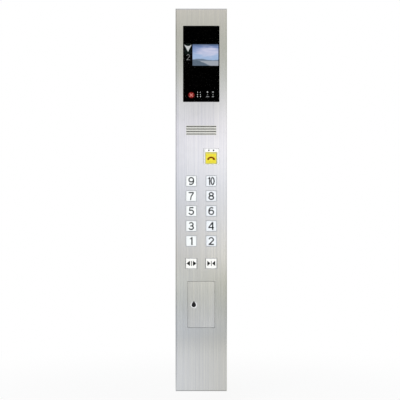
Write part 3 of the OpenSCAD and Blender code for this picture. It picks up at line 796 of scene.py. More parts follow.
@dataclass(frozen=True)
class TurnedMetal(Finish):
    """Metal turned on a lathe, with fine rings round its axis."""

    base: Tone = tone(214, 214, 216)
    ring: Tone = tone(150, 151, 154)
    centre: Point = (0.0, 0.0)
    pitch: float = 0.22 * MM
    ring_cover: float = 0.4
    roughness: float = 0.16
    rougher: float = 0.12
    metallic: float = 1.0
    gloss: float = 0.5
    smudge: float = 9 * MM
    relief: float = 0.01 * MM

    def fill(self, sheet: NodeSheet, shader: bpy.types.Node, effects: EffectLibrary) -> None:
        """Rings in colour and relief, with smudges in the gloss.

        Args:
            sheet: The material's nodes.
            shader: Its surface shader.
            effects: The shared node groups.
        """
        coords = sheet.coords()
        turned = effects.place(sheet, Effect.TURNING, coords, centre_x=self.centre[0] * MM,
                               centre_z=self.centre[1] * MM, pitch=self.pitch)
        marks = effects.place(sheet, Effect.HANDLING, coords, size=self.smudge)
        rings = sheet.times(turned["Rings"], self.ring_cover)
        rough = sheet.between(marks["Smudge"], self.roughness, self.roughness + self.rougher)
        sheet.wire(shader, {
            "Base Color": sheet.mix(rings, self.base, self.ring),
            "Roughness": rough,
            "Normal": sheet.bump(turned["Height"], self.relief, 0.6),
            "Metallic": self.metallic,
            "Specular IOR Level": self.gloss,
        })


@dataclass(frozen=True)
class MouldedPlastic(Finish):
    """Injection-moulded plastic, glossy or textured."""

    base: Tone = tone(240, 240, 238)
    shade: Tone = tone(228, 228, 226)
    roughness: float = 0.3
    grain: float = 0.5 * MM
    relief: float = 0.01 * MM
    grime: float = 0.25
    gloss: float = 0.5
    # Painted shade on edges and side walls that turn away from the front.
    edge: Tone | None = None
    edge_reach: float = 0.3
    shade_cover: float = 0.6
    rougher: float = 0.14
    smudge: float = 22 * MM

    def fill(self, sheet: NodeSheet, shader: bpy.types.Node, effects: EffectLibrary) -> None:
        """Slow tone changes, handling marks, painted shade on the edges and a fine relief.

        Args:
            sheet: The material's nodes.
            shader: Its surface shader.
            effects: The shared node groups.
        """
        coords = sheet.coords()
        skin = effects.place(sheet, Effect.MOULDING, coords, grain=self.grain)
        marks = effects.place(sheet, Effect.HANDLING, coords, size=self.smudge)
        base = sheet.mix(sheet.times(skin["Shade"], self.shade_cover), self.base, self.shade)
        base = sheet.mix(sheet.times(marks["Smudge"], self.grime), base, self.shade)
        # Painted shade where the surface turns away from the front.
        if self.edge is not None:
            rolled = effects.place(sheet, Effect.ROLLED_EDGE, coords, reach=self.edge_reach)
            base = sheet.mix(rolled["Edge"], base, self.edge)
        rough = sheet.between(marks["Smudge"], self.roughness, self.roughness + self.rougher)
        sheet.wire(shader, {
            "Base Color": self.tint(sheet, coords, base),
            "Roughness": rough,
            "Normal": sheet.bump(skin["Height"], self.relief),
            "Specular IOR Level": self.gloss,
        })

    def tint(self, sheet: NodeSheet, coords: Value, base: Value) -> Value:
        """Return the base colour as it is."""
        return base


@dataclass(frozen=True)
class BarredRing(MouldedPlastic):
    """Button ring whose top and bottom bars are paler than its sides."""

    bars: Tone = tone(204, 205, 206)
    row: float = -222.8
    half: float = 17.4

    def tint(self, sheet: NodeSheet, coords: Value, base: Value) -> Value:
        """Use the paler tone above and below the cap.

        Args:
            sheet: The material's nodes.
            coords: Coordinates of the piece.
            base: The colour of the plastic.

        Returns:
            The colour with its bars.
        """
        away = sheet.minus(sheet.split(coords)[2], self.row * MM)
        beyond = sheet.math("GREATER_THAN", sheet.math("ABSOLUTE", away), self.half * MM)
        return sheet.mix(beyond, base, self.bars)


@dataclass(frozen=True)
class RimShadedCap(MouldedPlastic):
    """Cap with painted shade in a frame round its face, darkest on the right."""

    # Painted shade round the face, and deeper shade on the right side.
    rim: Tone = tone(206, 200, 98)
    side: Tone = tone(178, 174, 110)
    face: Area = (16.6, 51.9, 129.0, 160.6)

    def tint(self, sheet: NodeSheet, coords: Value, base: Value) -> Value:
        """Paint the shade in a frame round the face.

        Args:
            sheet: The material's nodes.
            coords: Coordinates of the piece.
            base: The colour of the face.

        Returns:
            The colour with its painted shade.
        """
        x, _, z = sheet.split(coords)
        right = sheet.math("GREATER_THAN", x, self.face[1] * MM)
        frame = sheet.mix(right, self.rim, self.side)
        return sheet.mix(sheet.box_mask(x, z, self.face), frame, base)


@dataclass(frozen=True)
class ShadedGuard(MouldedPlastic):
    """Guard with painted shade on its flanks and a painted shadow round each lamp.

    Each pair of edges is where the flanks' painted shade is full and where it ends.
    """

    # Painted shade on the flanks, and a painted shadow round each lamp.
    flank_shade: Tone = tone(190, 190, 194)
    lamp_shadow: Tone = tone(40, 38, 38)
    left: Range = (7.5, 15.5)
    right: Range = (66.5, 57.5)
    top: Range = (180.6, 176.4)
    lamps: tuple[float, float] = (26.4, 43.1)
    lamp_row: float = 173.2
    reach: float = 2.8

    def tint(self, sheet: NodeSheet, coords: Value, base: Value) -> Value:
        """Fade to painted shade at the left, right and top, and paint a shadow round each lamp.

        Args:
            sheet: The material's nodes.
            coords: Coordinates of the piece.
            base: The colour of the plastic.

        Returns:
            The shaded colour.
        """
        x, _, z = sheet.split(coords)
        plain: Value = 1.0
        for value, (outer, inner) in ((x, self.left), (x, self.right), (z, self.top)):
            plain = sheet.times(plain, sheet.span(value, outer * MM, inner * MM))
        skin = sheet.mix(plain, self.flank_shade, base)
        # Painted shadow round each lamp.
        for lamp in self.lamps:
            away = sheet.radius(x, z, (lamp * MM, self.lamp_row * MM))
            near = sheet.math("LESS_THAN", away, self.reach * MM)
            skin = sheet.mix(near, skin, self.lamp_shadow)
        return skin


@dataclass(frozen=True)
class TintedPane(Finish):
    """Dark acrylic that shows only what is lit behind it."""

    tint: Tone = tone(1, 1, 1)
    dust: Tone = tone(20, 20, 22)
    dust_cover: float = 0.3
    cover: float = 0.45
    roughness: float = 0.04
    rougher: float = 0.07
    gloss: float = 0.02
    smudge: float = 70 * MM

    def fill(self, sheet: NodeSheet, shader: bpy.types.Node, effects: EffectLibrary) -> None:
        """Even tint with faint dust and wipe marks.

        Args:
            sheet: The material's nodes.
            shader: Its surface shader.
            effects: The shared node groups.
        """
        marks = effects.place(sheet, Effect.HANDLING, sheet.coords(), size=self.smudge)
        film = sheet.times(marks["Specks"], self.dust_cover)
        rough = sheet.between(marks["Smudge"], self.roughness, self.roughness + self.rougher)
        sheet.wire(shader, {
            "Base Color": sheet.mix(film, self.tint, self.dust),
            "Roughness": rough,
            "Alpha": self.cover,
            "Specular IOR Level": self.gloss,
        })


@dataclass(frozen=True)
class ScreenPicture(Finish):
    """Lit screen with a soft landscape beside a dark strip for the floor number.

    Places in the landscape are shares of its width and height, from its low left corner.
    Billows and streaks say how often they come across and up, and from which slice of the
    noise they are taken. The ranges say where an effect starts and where it is full.
    """

    picture: Area = (-30.5, 60.2, 470.2, 545.1)
    arrow_cell: Area = (-58.5, -34.0, 509.5, 546.5)
    zenith: Tone = tone(100, 122, 168)
    blue: Tone = tone(134, 156, 200)
    cloud: Tone = tone(206, 208, 232)
    horizon: Tone = tone(164, 188, 222)
    far_ridge: Tone = tone(112, 128, 146)
    near_hill: Tone = tone(74, 88, 102)
    lake: Tone = tone(164, 170, 180)
    cell: Tone = tone(14, 22, 20)
    unlit: Tone = tone(4, 4, 5)
    dust: Tone = tone(24, 24, 26)
    dusk_rise: Range = (0.89, 1.0)
    dusk_depth: float = 0.7
    cloud_centre: Point = (0.62, 0.66)
    cloud_narrowing: Point = (2.1, 4.4)
    cloud_edge: Range = (-0.7, 1.3)
    cloud_cover: float = 0.92
    billows: tuple[float, float, float] = (2.0, 4.5, 0.4)
    billow_depth: float = 2.4
    streaks: tuple[float, float, float] = (3.0, 16.0, 1.7)
    streak_levels: Range = (0.3, 0.7)
    streak_cover: float = 0.3
    ridge_height: float = 0.255
    ridge_waves: float = 6.0
    ridge_rise: float = 0.035
    raggedness: float = 0.07
    shore: Range = (0.24, 0.21)
    hill_height: float = 0.05
    hill_waves: float = 3.0
    hill_rise: float = 0.19
    outline: float = 0.01
    power: float = 3.1
    roughness: Range = (0.3, 0.4)
    gloss: float = 0.1
    smudge: float = 40 * MM

    def sky(self, sheet: NodeSheet, u: Value, v: Value) -> Value:
        """Return a blue sky with one large pale cloud and thin streaks.

        Args:
            sheet: The material's nodes.
            u: Place across the picture from 0 to 1.
            v: Height in the picture from 0 to 1.

        Returns:
            The colour of the sky.
        """
        def pattern(often: tuple[float, float, float], detail: float,
                    distortion: float = 0.0) -> Value:
            """Stretch noise over the sky.

            Args:
                often: How often it comes across and up, and its slice.
                detail: Number of finer layers.
                distortion: Bending of the pattern.

            Returns:
                The noise value.
            """
            across, upright, part = often
            place = sheet.join(sheet.times(u, across), sheet.times(v, upright), part)
            return sheet.noise(place, detail=detail, distortion=distortion)

        air = sheet.ramp(v, ((0.34, self.horizon), (0.5, self.horizon), (0.75, self.blue),
                             (1.0, self.zenith)))
        drift = pattern(self.billows, 4.0, 0.6)
        across, upright = (
            sheet.math("POWER", sheet.times(sheet.minus(place, middle), narrowing), 2.0)
            for place, middle, narrowing in zip((u, v), self.cloud_centre,
                                                self.cloud_narrowing))
        body = sheet.minus(1.0, sheet.plus(across, upright))
        body = sheet.plus(body, sheet.times(sheet.minus(drift, 0.5), self.billow_depth))
        cover = sheet.span(body, *self.cloud_edge, 0.0, self.cloud_cover, True)
        streak = sheet.span(pattern(self.streaks, 3.0), *self.streak_levels,
                            -self.streak_cover, self.streak_cover)
        cover = sheet.math("ADD", cover, streak, clamp=True)
        dusk = sheet.span(v, *self.dusk_rise, 0.0, self.dusk_depth)
        return sheet.mix(dusk, sheet.mix(cover, air, self.cloud), self.near_hill)

    def ground(self, sheet: NodeSheet, u: Value, v: Value, sky: Value) -> Value:
        """Return the picture with a lake between a far ridge and a near hill.

        Args:
            sheet: The material's nodes.
            u: Place across the picture from 0 to 1.
            v: Height in the picture from 0 to 1.
            sky: The colour of the sky.

        Returns:
            The colour of the picture.
        """
        def below(height: Value) -> Value:
            """Return the mask of what lies under an outline."""
            return sheet.span(sheet.minus(height, v), -self.outline, self.outline)

        flat = sheet.join(u, v, 0.0)
        ragged = sheet.times(sheet.noise(flat, scale=8.0, detail=4.0), self.raggedness)
        wave = sheet.times(sheet.math("SINE", sheet.times(u, self.ridge_waves)),
                           self.ridge_rise)
        ridge = sheet.plus(sheet.plus(wave, self.ridge_height), ragged)
        image = sheet.mix(below(ridge), sky, self.far_ridge)
        image = sheet.mix(sheet.span(v, *self.shore), image, self.lake)
        slope = sheet.times(sheet.math("COSINE", sheet.times(u, self.hill_waves)),
                            self.hill_rise)
        hill = sheet.plus(sheet.plus(slope, self.hill_height), ragged)
        grass = sheet.mix(sheet.noise(flat, scale=14.0, detail=5.0), self.near_hill,
                          self.far_ridge)
        return sheet.mix(below(hill), image, grass)

    def fill(self, sheet: NodeSheet, shader: bpy.types.Node, effects: EffectLibrary) -> None:
        """Landscape and dark strip, given off as light.

        Args:
            sheet: The material's nodes.
            shader: Its surface shader.
            effects: The shared node groups.
        """
        left, right, low, high = (edge * MM for edge in self.picture)
        coords = sheet.coords()
        x, _, z = sheet.split(coords)
        u = sheet.span(x, left, right)
        v = sheet.span(z, low, high)
        image = self.ground(sheet, u, v, self.sky(sheet, u, v))
        strip = sheet.mix(sheet.box_mask(x, z, self.arrow_cell), tone(0, 0, 0), self.cell)
        marks = effects.place(sheet, Effect.HANDLING, coords, size=self.smudge)
        sheet.wire(shader, {
            "Emission Color": sheet.mix(sheet.box_mask(x, z, self.picture), strip, image),
            "Emission Strength": self.power,
            "Base Color": sheet.mix(marks["Specks"], self.unlit, self.dust),
            "Roughness": sheet.between(marks["Smudge"], *self.roughness),
            "Specular IOR Level": self.gloss,
        })


@dataclass(frozen=True)
class LitLens(Finish):
    """Round lens with a lamp behind it, brighter towards its middle."""

    core: Tone = tone(190, 60, 52)
    rim: Tone = tone(70, 8, 8)
    centre: Point = (0.0, 0.0)
    radius: float = 10.5
    power: float = 1.0
    core_share: float = 0.15
    facets: float = 900.0
    facet_share: float = 0.15
    roughness: float = 0.25
    relief: float = 0.05 * MM

    def fill(self, sheet: NodeSheet, shader: bpy.types.Node, effects: EffectLibrary) -> None:
        """Glow that falls off from the middle, with the facets of the lens.

        Args:
            sheet: The material's nodes.
            shader: Its surface shader.
            effects: The shared node groups; not used.
        """
        coords = sheet.coords()
        x, _, z = sheet.split(coords)
        reach = sheet.radius(x, z, (self.centre[0] * MM, self.centre[1] * MM))
        facets = sheet.cells(coords, self.facets)
        fade = sheet.span(reach, self.core_share * self.radius * MM, self.radius * MM)
        fade = sheet.math("ADD", fade, sheet.times(facets, self.facet_share), clamp=True)
        glow = sheet.mix(fade, self.core, self.rim)
        sheet.wire(shader, {
            "Emission Color": glow,
            "Emission Strength": self.power,
            "Base Color": glow,
            "Roughness": self.roughness,
            "Normal": sheet.bump(facets, self.relief, 0.5),
        })


@dataclass(frozen=True)
class CircuitBoard(Finish):
    """Green board with tracks and pads, and dark parts that stand off it."""

    mask: Tone = tone(16, 82, 46)
    track: Tone = tone(38, 120, 70)
    pad: Tone = tone(196, 176, 104)
    part: Tone = tone(22, 22, 24)
    parts_from: float = 100.0
    roughness: Range = (0.26, 0.38)
    grain: float = 0.4 * MM
    relief: float = 0.03 * MM

    def fill(self, sheet: NodeSheet, shader: bpy.types.Node, effects: EffectLibrary) -> None:
        """Tracks and pads by pattern, and parts by how far they stand off.

        Args:
            sheet: The material's nodes.
            shader: Its surface shader.
            effects: The shared node groups.
        """
        coords = sheet.coords()
        x, y, z = sheet.split(coords)
        flat = sheet.join(x, 0.0, z)
        lanes = []
        for vector, scale, gap, look in (
                (flat, 260.0, 0.05, {"offset": 0.37, "squash": 1.7}),
                (sheet.join(z, 0.0, x), 190.0, 0.06, {"offset": 0.61})):
            bricks = sheet.add("ShaderNodeTexBrick", **look)
            sheet.wire(bricks, {"Vector": vector, "Scale": scale, "Mortar Size": gap})
            lanes.append(bricks.outputs["Fac"])
        which = sheet.span(sheet.noise(flat, scale=60.0, detail=0.0), 0.48, 0.52)
        tracks = sheet.plus(sheet.times(lanes[0], which),
                            sheet.times(lanes[1], sheet.minus(1.0, which)))
        pads = sheet.times(sheet.span(sheet.cells(flat, 300.0), 0.22, 0.18),
                           sheet.span(sheet.noise(flat, scale=90.0), 0.5, 0.54))
        standing = sheet.math("GREATER_THAN", y, self.parts_from * MM)
        base = sheet.mix(tracks, self.mask, self.track)
        base = sheet.mix(pads, base, self.pad)
        skin = effects.place(sheet, Effect.MOULDING, coords, grain=self.grain)
        height = sheet.plus(tracks, sheet.times(skin["Height"], 0.2))
        sheet.wire(shader, {
            "Base Color": sheet.mix(standing, base, self.part),
            "Metallic": sheet.times(pads, sheet.minus(1.0, standing)),
            "Roughness": sheet.between(skin["Shade"], *self.roughness),
            "Normal": sheet.bump(height, self.relief, 0.5),
        })


@dataclass(frozen=True)
class WovenSleeve(Finish):
    """Braided sleeve over the leads."""

    dark: Tone = tone(24, 24, 27)
    light: Tone = tone(58, 58, 62)
    strand: float = 1.4 * MM
    roughness: Range = (0.6, 0.78)
    grain: float = 0.3 * MM
    relief: float = 0.25 * MM

    def fill(self, sheet: NodeSheet, shader: bpy.types.Node, effects: EffectLibrary) -> None:
        """Crossing strands in colour and relief.

        Args:
            sheet: The material's nodes.
            shader: Its surface shader.
            effects: The shared node groups.
        """
        coords = sheet.coords()
        x, y, z = sheet.split(coords)
        aside = sheet.plus(x, y)
        turns = math.tau / self.strand
        one, two = (sheet.math("SINE", sheet.times(run, turns))
                    for run in (sheet.plus(z, aside), sheet.minus(z, aside)))
        weave = sheet.span(sheet.times(one, two), -0.6, 0.6)
        skin = effects.place(sheet, Effect.MOULDING, coords, grain=self.grain)
        sheet.wire(shader, {
            "Base Color": sheet.mix(weave, self.dark, self.light),
            "Roughness": sheet.between(skin["Shade"], *self.roughness),
            "Normal": sheet.bump(weave, self.relief, 0.8),
        })


@dataclass(frozen=True)
class PrintedInk(Finish):
    """Ink or inlay of a mark, slightly uneven, and lit from behind where it has power."""

    ink: Tone = tone(52, 54, 58)
    thin: Tone = tone(84, 86, 90)
    power: float = 0.0
    slot: str = "mark_ink"
    gloss: float = 0.12
    thin_share: float = 0.35
    roughness: Range = (0.4, 0.55)
    grain: float = 0.25 * MM
    relief: float = 0.004 * MM

    def fill(self, sheet: NodeSheet, shader: bpy.types.Node, effects: EffectLibrary) -> None:
        """Uneven cover of the ink.

        Args:
            sheet: The material's nodes.
            shader: Its surface shader.
            effects: The shared node groups.
        """
        skin = effects.place(sheet, Effect.MOULDING, sheet.coords(), grain=self.grain)
        colour = sheet.mix(sheet.times(skin["Shade"], self.thin_share), self.ink, self.thin)
        sheet.wire(shader, {
            "Base Color": colour,
            "Roughness": sheet.between(skin["Shade"], *self.roughness),
            "Normal": sheet.bump(skin["Height"], self.relief),
            "Specular IOR Level": self.gloss,
        })
        if self.power:
            sheet.wire(shader, {"Emission Color": colour, "Emission Strength": self.power})


# The finishes of this panel


STEEL = RolledSteel("stainless_sheet")
# The door's steel is a brighter copy of the sheet's steel: painted reflection.
DOOR_STEEL = BrushedSteel("stainless_door", warm=tone(238, 237, 233), cool=tone(219, 220, 222))
GALVANISED = PlatedMetal("galvanised_sheet", roughness=0.42, crystal=9 * MM)
ZINC = PlatedMetal("zinc_plating", bright=tone(218, 220, 222), dull=tone(190, 193, 197),
                   crystal=2.5 * MM, roughness=0.26, patch=12 * MM)
BRIGHT = PlatedMetal("bright_steel", bright=tone(226, 226, 227), dull=tone(196, 197, 200),
                     crystal=1.5 * MM, roughness=0.16, patch=8 * MM)
PRESSED = PlatedMetal("pressed_frame", bright=tone(196, 197, 198), dull=tone(170, 171, 173),
                      crystal=3 * MM, roughness=0.3)
SATIN = BrushedSteel("satin_aluminium", warm=tone(220, 221, 222), cool=tone(212, 214, 217),
                     grain=Grain.ACROSS, roughness=0.3, spread=0.6, length=25 * MM)
NYLON = MouldedPlastic("natural_nylon", tone(226, 224, 212), tone(206, 203, 188), 0.5)
BLACK_PLASTIC = MouldedPlastic("black_moulding", tone(26, 26, 27), tone(40, 40, 42), 0.5,
                               relief=0.03 * MM)
CARRIER = MouldedPlastic("window_carrier", tone(2, 2, 2), tone(5, 5, 5), 0.9, gloss=0.0)
BLACK_RUBBER = MouldedPlastic("black_rubber", tone(22, 22, 23), tone(44, 44, 45), 0.78,
                              relief=0.05 * MM)
BLACK_COAT = MouldedPlastic("black_metal_coat", tone(28, 28, 29), tone(46, 46, 48), 0.4,
                            relief=0.02 * MM)
PULP = MouldedPlastic("cone_pulp", tone(92, 92, 82), tone(120, 120, 108), 0.9, grain=1.2 * MM,
                      relief=0.12 * MM)
FERRITE = MouldedPlastic("ferrite_magnet", tone(60, 61, 64), tone(84, 85, 88), 0.55,
                         grain=0.8 * MM, relief=0.06 * MM)
PALE_RING = MouldedPlastic("pale_moulding", tone(188, 191, 194), tone(172, 175, 179), 0.42)
DARK_RING = BarredRing("dark_moulding", tone(118, 120, 122), tone(100, 103, 106), 0.42)
WHITE_GUARD = ShadedGuard("white_guard", tone(250, 250, 250), tone(244, 244, 243), 0.25,
                          grime=0.1)
# The caps' edge tones are painted shade where their surfaces turn away from the front.
CAP_WARM = MouldedPlastic("white_cap_warm", tone(242, 245, 245), tone(236, 240, 241), 0.22,
                          grime=0.15, edge=tone(214, 218, 221))
# The right column's caps are a greyer, bluer copy of the same white plastic: painted shade.
CAP_COOL = MouldedPlastic("white_cap_cool", tone(236, 240, 244), tone(228, 232, 237), 0.22,
                          grime=0.2, edge=tone(208, 213, 218))
CAP_DOOR = MouldedPlastic("white_cap_door", tone(250, 250, 246), tone(244, 244, 240), 0.22,
                          grime=0.1, edge=tone(216, 217, 216))
CAP_YELLOW = RimShadedCap("yellow_cap", tone(229, 214, 36), tone(221, 204, 30), 0.24,
                       edge=tone(150, 142, 70), edge_reach=0.4)
ROCKER = MouldedPlastic("rocker_red", tone(176, 24, 26), tone(150, 18, 20), 0.24)
LED_LENS = MouldedPlastic("led_lens", tone(222, 228, 214), tone(204, 212, 196), 0.12)
LAMP_DARK = MouldedPlastic("guard_lamp", tone(22, 18, 18), tone(14, 12, 12), 0.5, gloss=0.1)
TERMINAL = MouldedPlastic("terminal_body", tone(206, 202, 184), tone(186, 182, 164), 0.5)
BRASS = TurnedMetal("brass_stud", tone(214, 182, 104), tone(176, 144, 72), (45.0, -600.0))
LOCK_RING = TurnedMetal("lock_chrome", tone(250, 250, 252), tone(226, 227, 230),
                        (-26.0, -367.8), roughness=0.2, metallic=0.5)
LOCK_CORE = TurnedMetal("lock_core", tone(34, 34, 36), tone(18, 18, 20), (-26.0, -367.8),
                        roughness=0.4, metallic=0.0, gloss=0.15)
PANE = TintedPane("tinted_pane")
PICTURE = ScreenPicture("screen_picture")
RED_LENS = LitLens("red_sign_lens", tone(182, 50, 46), tone(146, 28, 28), (-34.7, 367.3),
                   power=1.6)
DISPLAY_PCB = CircuitBoard("display_circuit", parts_from=5.65)
BUTTON_PCB = CircuitBoard("button_circuit", parts_from=0.65)
SLEEVE = WovenSleeve("lead_sleeve")
NUMERAL_INK = PrintedInk("numeral_ink", tone(24, 26, 30), tone(40, 42, 46))
BLACK_INK = PrintedInk("symbol_ink", tone(20, 20, 21), tone(34, 34, 36))
BROWN_INK = PrintedInk("handset_ink", tone(118, 48, 0), tone(128, 58, 0), slot="handset_ink",
                       gloss=0.05)
WHITE_INK = PrintedInk("rocker_ink", tone(236, 236, 234), tone(214, 214, 212),
                       slot="rocker_ink")
LIT_WHITE = PrintedInk("lit_symbol", tone(214, 218, 218), tone(190, 195, 196), 2.5,
                       "window_sign")
LIT_GREY = PrintedInk("lit_number", tone(196, 198, 198), tone(170, 173, 174), 1.3,
                      "window_sign")
LIT_DOTS = PrintedInk("lit_dots", tone(204, 206, 206), tone(180, 182, 183), 4.6,
                      "window_sign")
LIT_FAINT = PrintedInk("lit_faint", tone(150, 152, 152), tone(130, 132, 133), 0.9,
                       "window_sign")
LIT_ROSE = PrintedInk("lit_cross", tone(220, 140, 132), tone(200, 118, 112), 2.8,
                      "window_sign")


# Marks: flat outlines with a real thickness


@dataclass(frozen=True)
class Stroke:
    """A pen stroke along a centre line, across and up in millimetres."""

    points: tuple[Point, ...]
    width: float
    closed: bool = False

    def edges(self) -> list[tuple[Point, Point]]:
        """Find the two edge points beside each point of the centre line.

        Returns:
            A pair of points for each point.
        """
        count, sharpest = len(self.points), 0.4
        sides: list[tuple[float, float]] = []
        for index in range(count if self.closed else count - 1):
            (ax, az), (bx, bz) = self.points[index], self.points[(index + 1) % count]
            length = math.hypot(bx - ax, bz - az)
            sides.append((-(bz - az) / length, (bx - ax) / length))
        found = []
        for index, (px, pz) in enumerate(self.points):
            before = sides[index - 1] if index or self.closed else sides[0]
            after = sides[index % len(sides)] if index < len(sides) else sides[-1]
            mx, mz = before[0] + after[0], before[1] + after[1]
            size = math.hypot(mx, mz)
            mx, mz = mx / size, mz / size
            reach = self.width / 2 / max(mx * after[0] + mz * after[1], sharpest)
            found.append(((px + mx * reach, pz + mz * reach), (px - mx * reach, pz - mz * reach)))
        return found

    def solid(self, front: float, back: float) -> bmesh.types.BMesh:
        """Return the stroke as a closed solid.

        Args:
            front: Y of its front in millimetres.
            back: Y of its back in millimetres.

        Returns:
            The solid, in millimetres.
        """
        made = bmesh.new()
        rows = [[made.verts.new((x, y, z)) for y in (front, back) for x, z in pair]
                for pair in self.edges()]
        pairs = list(zip(rows, rows[1:]))
        if self.closed:
            pairs.append((rows[-1], rows[0]))
        else:
            for a, b, c, d in (rows[0], rows[-1]):
                made.faces.new((a, b, d, c))
        for near, far in pairs:
            for a, b in ((0, 1), (1, 3), (3, 2), (2, 0)):
                made.faces.new((near[a], near[b], far[b], far[a]))
        bmesh.ops.recalc_face_normals(made, faces=made.faces)
        return made


@dataclass(frozen=True)
class Patch:
    """A filled outline, across and up in millimetres."""

    points: tuple[Point, ...]

    def solid(self, front: float, back: float) -> bmesh.types.BMesh:
        """Return the patch as a closed solid.

        Args:
            front: Y of its front in millimetres.
            back: Y of its back in millimetres.

        Returns:
            The solid, in millimetres.
        """
        made = bmesh.new()
        near = [made.verts.new((x, front, z)) for x, z in self.points]
        far = [made.verts.new((x, back, z)) for x, z in self.points]
        made.faces.new(near)
        made.faces.new(far)
        for index in range(len(near)):
            made.faces.new((near[index - 1], near[index], far[index], far[index - 1]))
        bmesh.ops.recalc_face_normals(made, faces=made.faces)
        return made


def arc(centre: Point, radii: Point, start: float, end: float, steps: int = 28) -> list[Point]:
    """Return points along part of an ellipse.

    Args:
        centre: Its centre.
        radii: Its radius across and its radius up.
        start: First angle in degrees, from the right and against the clock.
        end: Last angle in degrees.
        steps: Number of parts.

    Returns:
        The points, with both ends.
    """
    angles = [math.radians(start + (end - start) * step / steps) for step in range(steps + 1)]
    return [(centre[0] + radii[0] * math.cos(angle), centre[1] + radii[1] * math.sin(angle))
            for angle in angles]


def loop(centre: Point, radii: Point, width: float) -> Stroke:
    """Return a closed elliptical stroke."""
    return Stroke(tuple(arc(centre, radii, 0, 360)[:-1]), width, True)


def disc(centre: Point, radius: float) -> Patch:
    """Return a round patch."""
    return Patch(tuple(arc(centre, (radius, radius), 0, 360, 32)[:-1]))


def bar(left: float, right: float, low: float, high: float) -> Patch:
    """Return a rectangular patch."""
    return Patch(((left, low), (right, low), (right, high), (left, high)))


Shape = Union[Stroke, Patch]


@dataclass(frozen=True)
class Numerals:
    """Plain numerals drawn on a grid whose centre is the middle of a figure."""

    half: float = 13.8
    pen: float = 4.1
    stretch: float = 1.07

    def figure(self, digit: int) -> list[Shape]:
        """Return the shapes of one figure.

        Args:
            digit: A figure from 0 to 9.

        Returns:
            Its strokes and patches.
        """
        high = self.half - self.pen / 2
        half, pen = self.half, self.pen
        right = pen / 2

        def line(*parts: Sequence[Point]) -> Stroke:
            """Join runs of points into one stroke."""
            return Stroke(tuple(point for part in parts for point in part), pen)

        if digit == 0:
            return [loop((0, 0), (7.6, high), pen)]
        if digit == 1:
            return [Patch(((0.2, -half), (0.2 + pen, -half), (0.2 + pen, half), (0.9, half),
                           (-1.4, 10.6), (-4.4, 8.9), (-4.4, 6.0), (-2.0, 6.9), (0.2, 8.4)))]
        if digit == 2:
            bowl = arc((0, high - 6.6), (7.0, 6.6), 172, -28)
            return [line(bowl, [(-6.3, -high + 0.6)]), bar(-8.6, 8.4, -half, -half + pen)]
        if digit == 3:
            top = arc((-0.3, high - 5.6), (6.3, 5.6), 158, -90)
            low = arc((-0.3, -high + 6.2), (7.3, 6.2), 90, -162)
            return [line(top), line(low), bar(-3.2, 0.2, 0.1 - right, 0.1 + right)]
        if digit == 4:
            return [bar(2.6, 2.6 + pen, -half, half), bar(-9.2, 9.0, -7.2, -7.2 + pen),
                    Patch(((2.7, half), (5.0, half), (5.0, half - 4.2), (-5.2, -7.2 + pen),
                           (-9.2, -7.2 + pen)))]
        if digit == 5:
            bowl = arc((-0.3, -4.3), (7.5, high - 4.3), 141, -162)
            return [line(bowl), bar(-4.9, 7.2, half - pen, half),
                    Patch(((-5.6, half), (-2.4, half), (-4.2, 1.0), (-7.2, 0.2)))]
        if digit == 6:
            stem = arc((1.0, 0), (8.6, high), 52, 196)
            return [loop((0, -4.3), (7.6, high - 4.3), pen), line(stem)]
        if digit == 7:
            return [bar(-8.4, 8.6, half - pen, half),
                    Patch(((8.6, half), (8.6, half - pen), (1.4, -1.5), (-0.7, -half),
                           (-4.2, -half), (-1.9, -0.8), (4.4, half - pen)))]
        if digit == 8:
            return [loop((0, high - 5.4), (6.4, 5.4), pen),
                    loop((0, -high + 6.2), (7.6, 6.2), pen)]
        return [replace(shape, points=tuple((-x, -z) for x, z in shape.points))
                for shape in self.figure(6)]

    def number(self, value: int) -> list[Shape]:
        """Return the shapes of a floor number, stretched across.

        Args:
            value: A number from 1 to 10.

        Returns:
            Its strokes and patches.
        """
        if value < 10:
            shapes = self.figure(value)
        else:
            slimness, aside = 0.86, -7.2
            one = Patch(tuple((x * slimness + aside, z) for x, z in self.figure(1)[0].points))
            shapes = [one, loop((4.3, 0), (5.0, self.half - self.pen / 2), self.pen)]
        return [replace(shape, points=tuple((x * self.stretch, z) for x, z in shape.points))
                for shape in shapes]


def moved(shapes: Sequence[Shape], centre: Point, scale: float = 1.0) -> list[Shape]:
    """Return shapes that are scaled and then moved.

    Args:
        shapes: The shapes.
        centre: Where their origin goes.
        scale: Their new size.

    Returns:
        The new shapes.
    """
    placed: list[Shape] = []
    for shape in shapes:
        points = tuple((centre[0] + x * scale, centre[1] + z * scale) for x, z in shape.points)
        pen = {"width": shape.width * scale} if isinstance(shape, Stroke) else {}
        placed.append(replace(shape, points=points, **pen))
    return placed


# The workshop


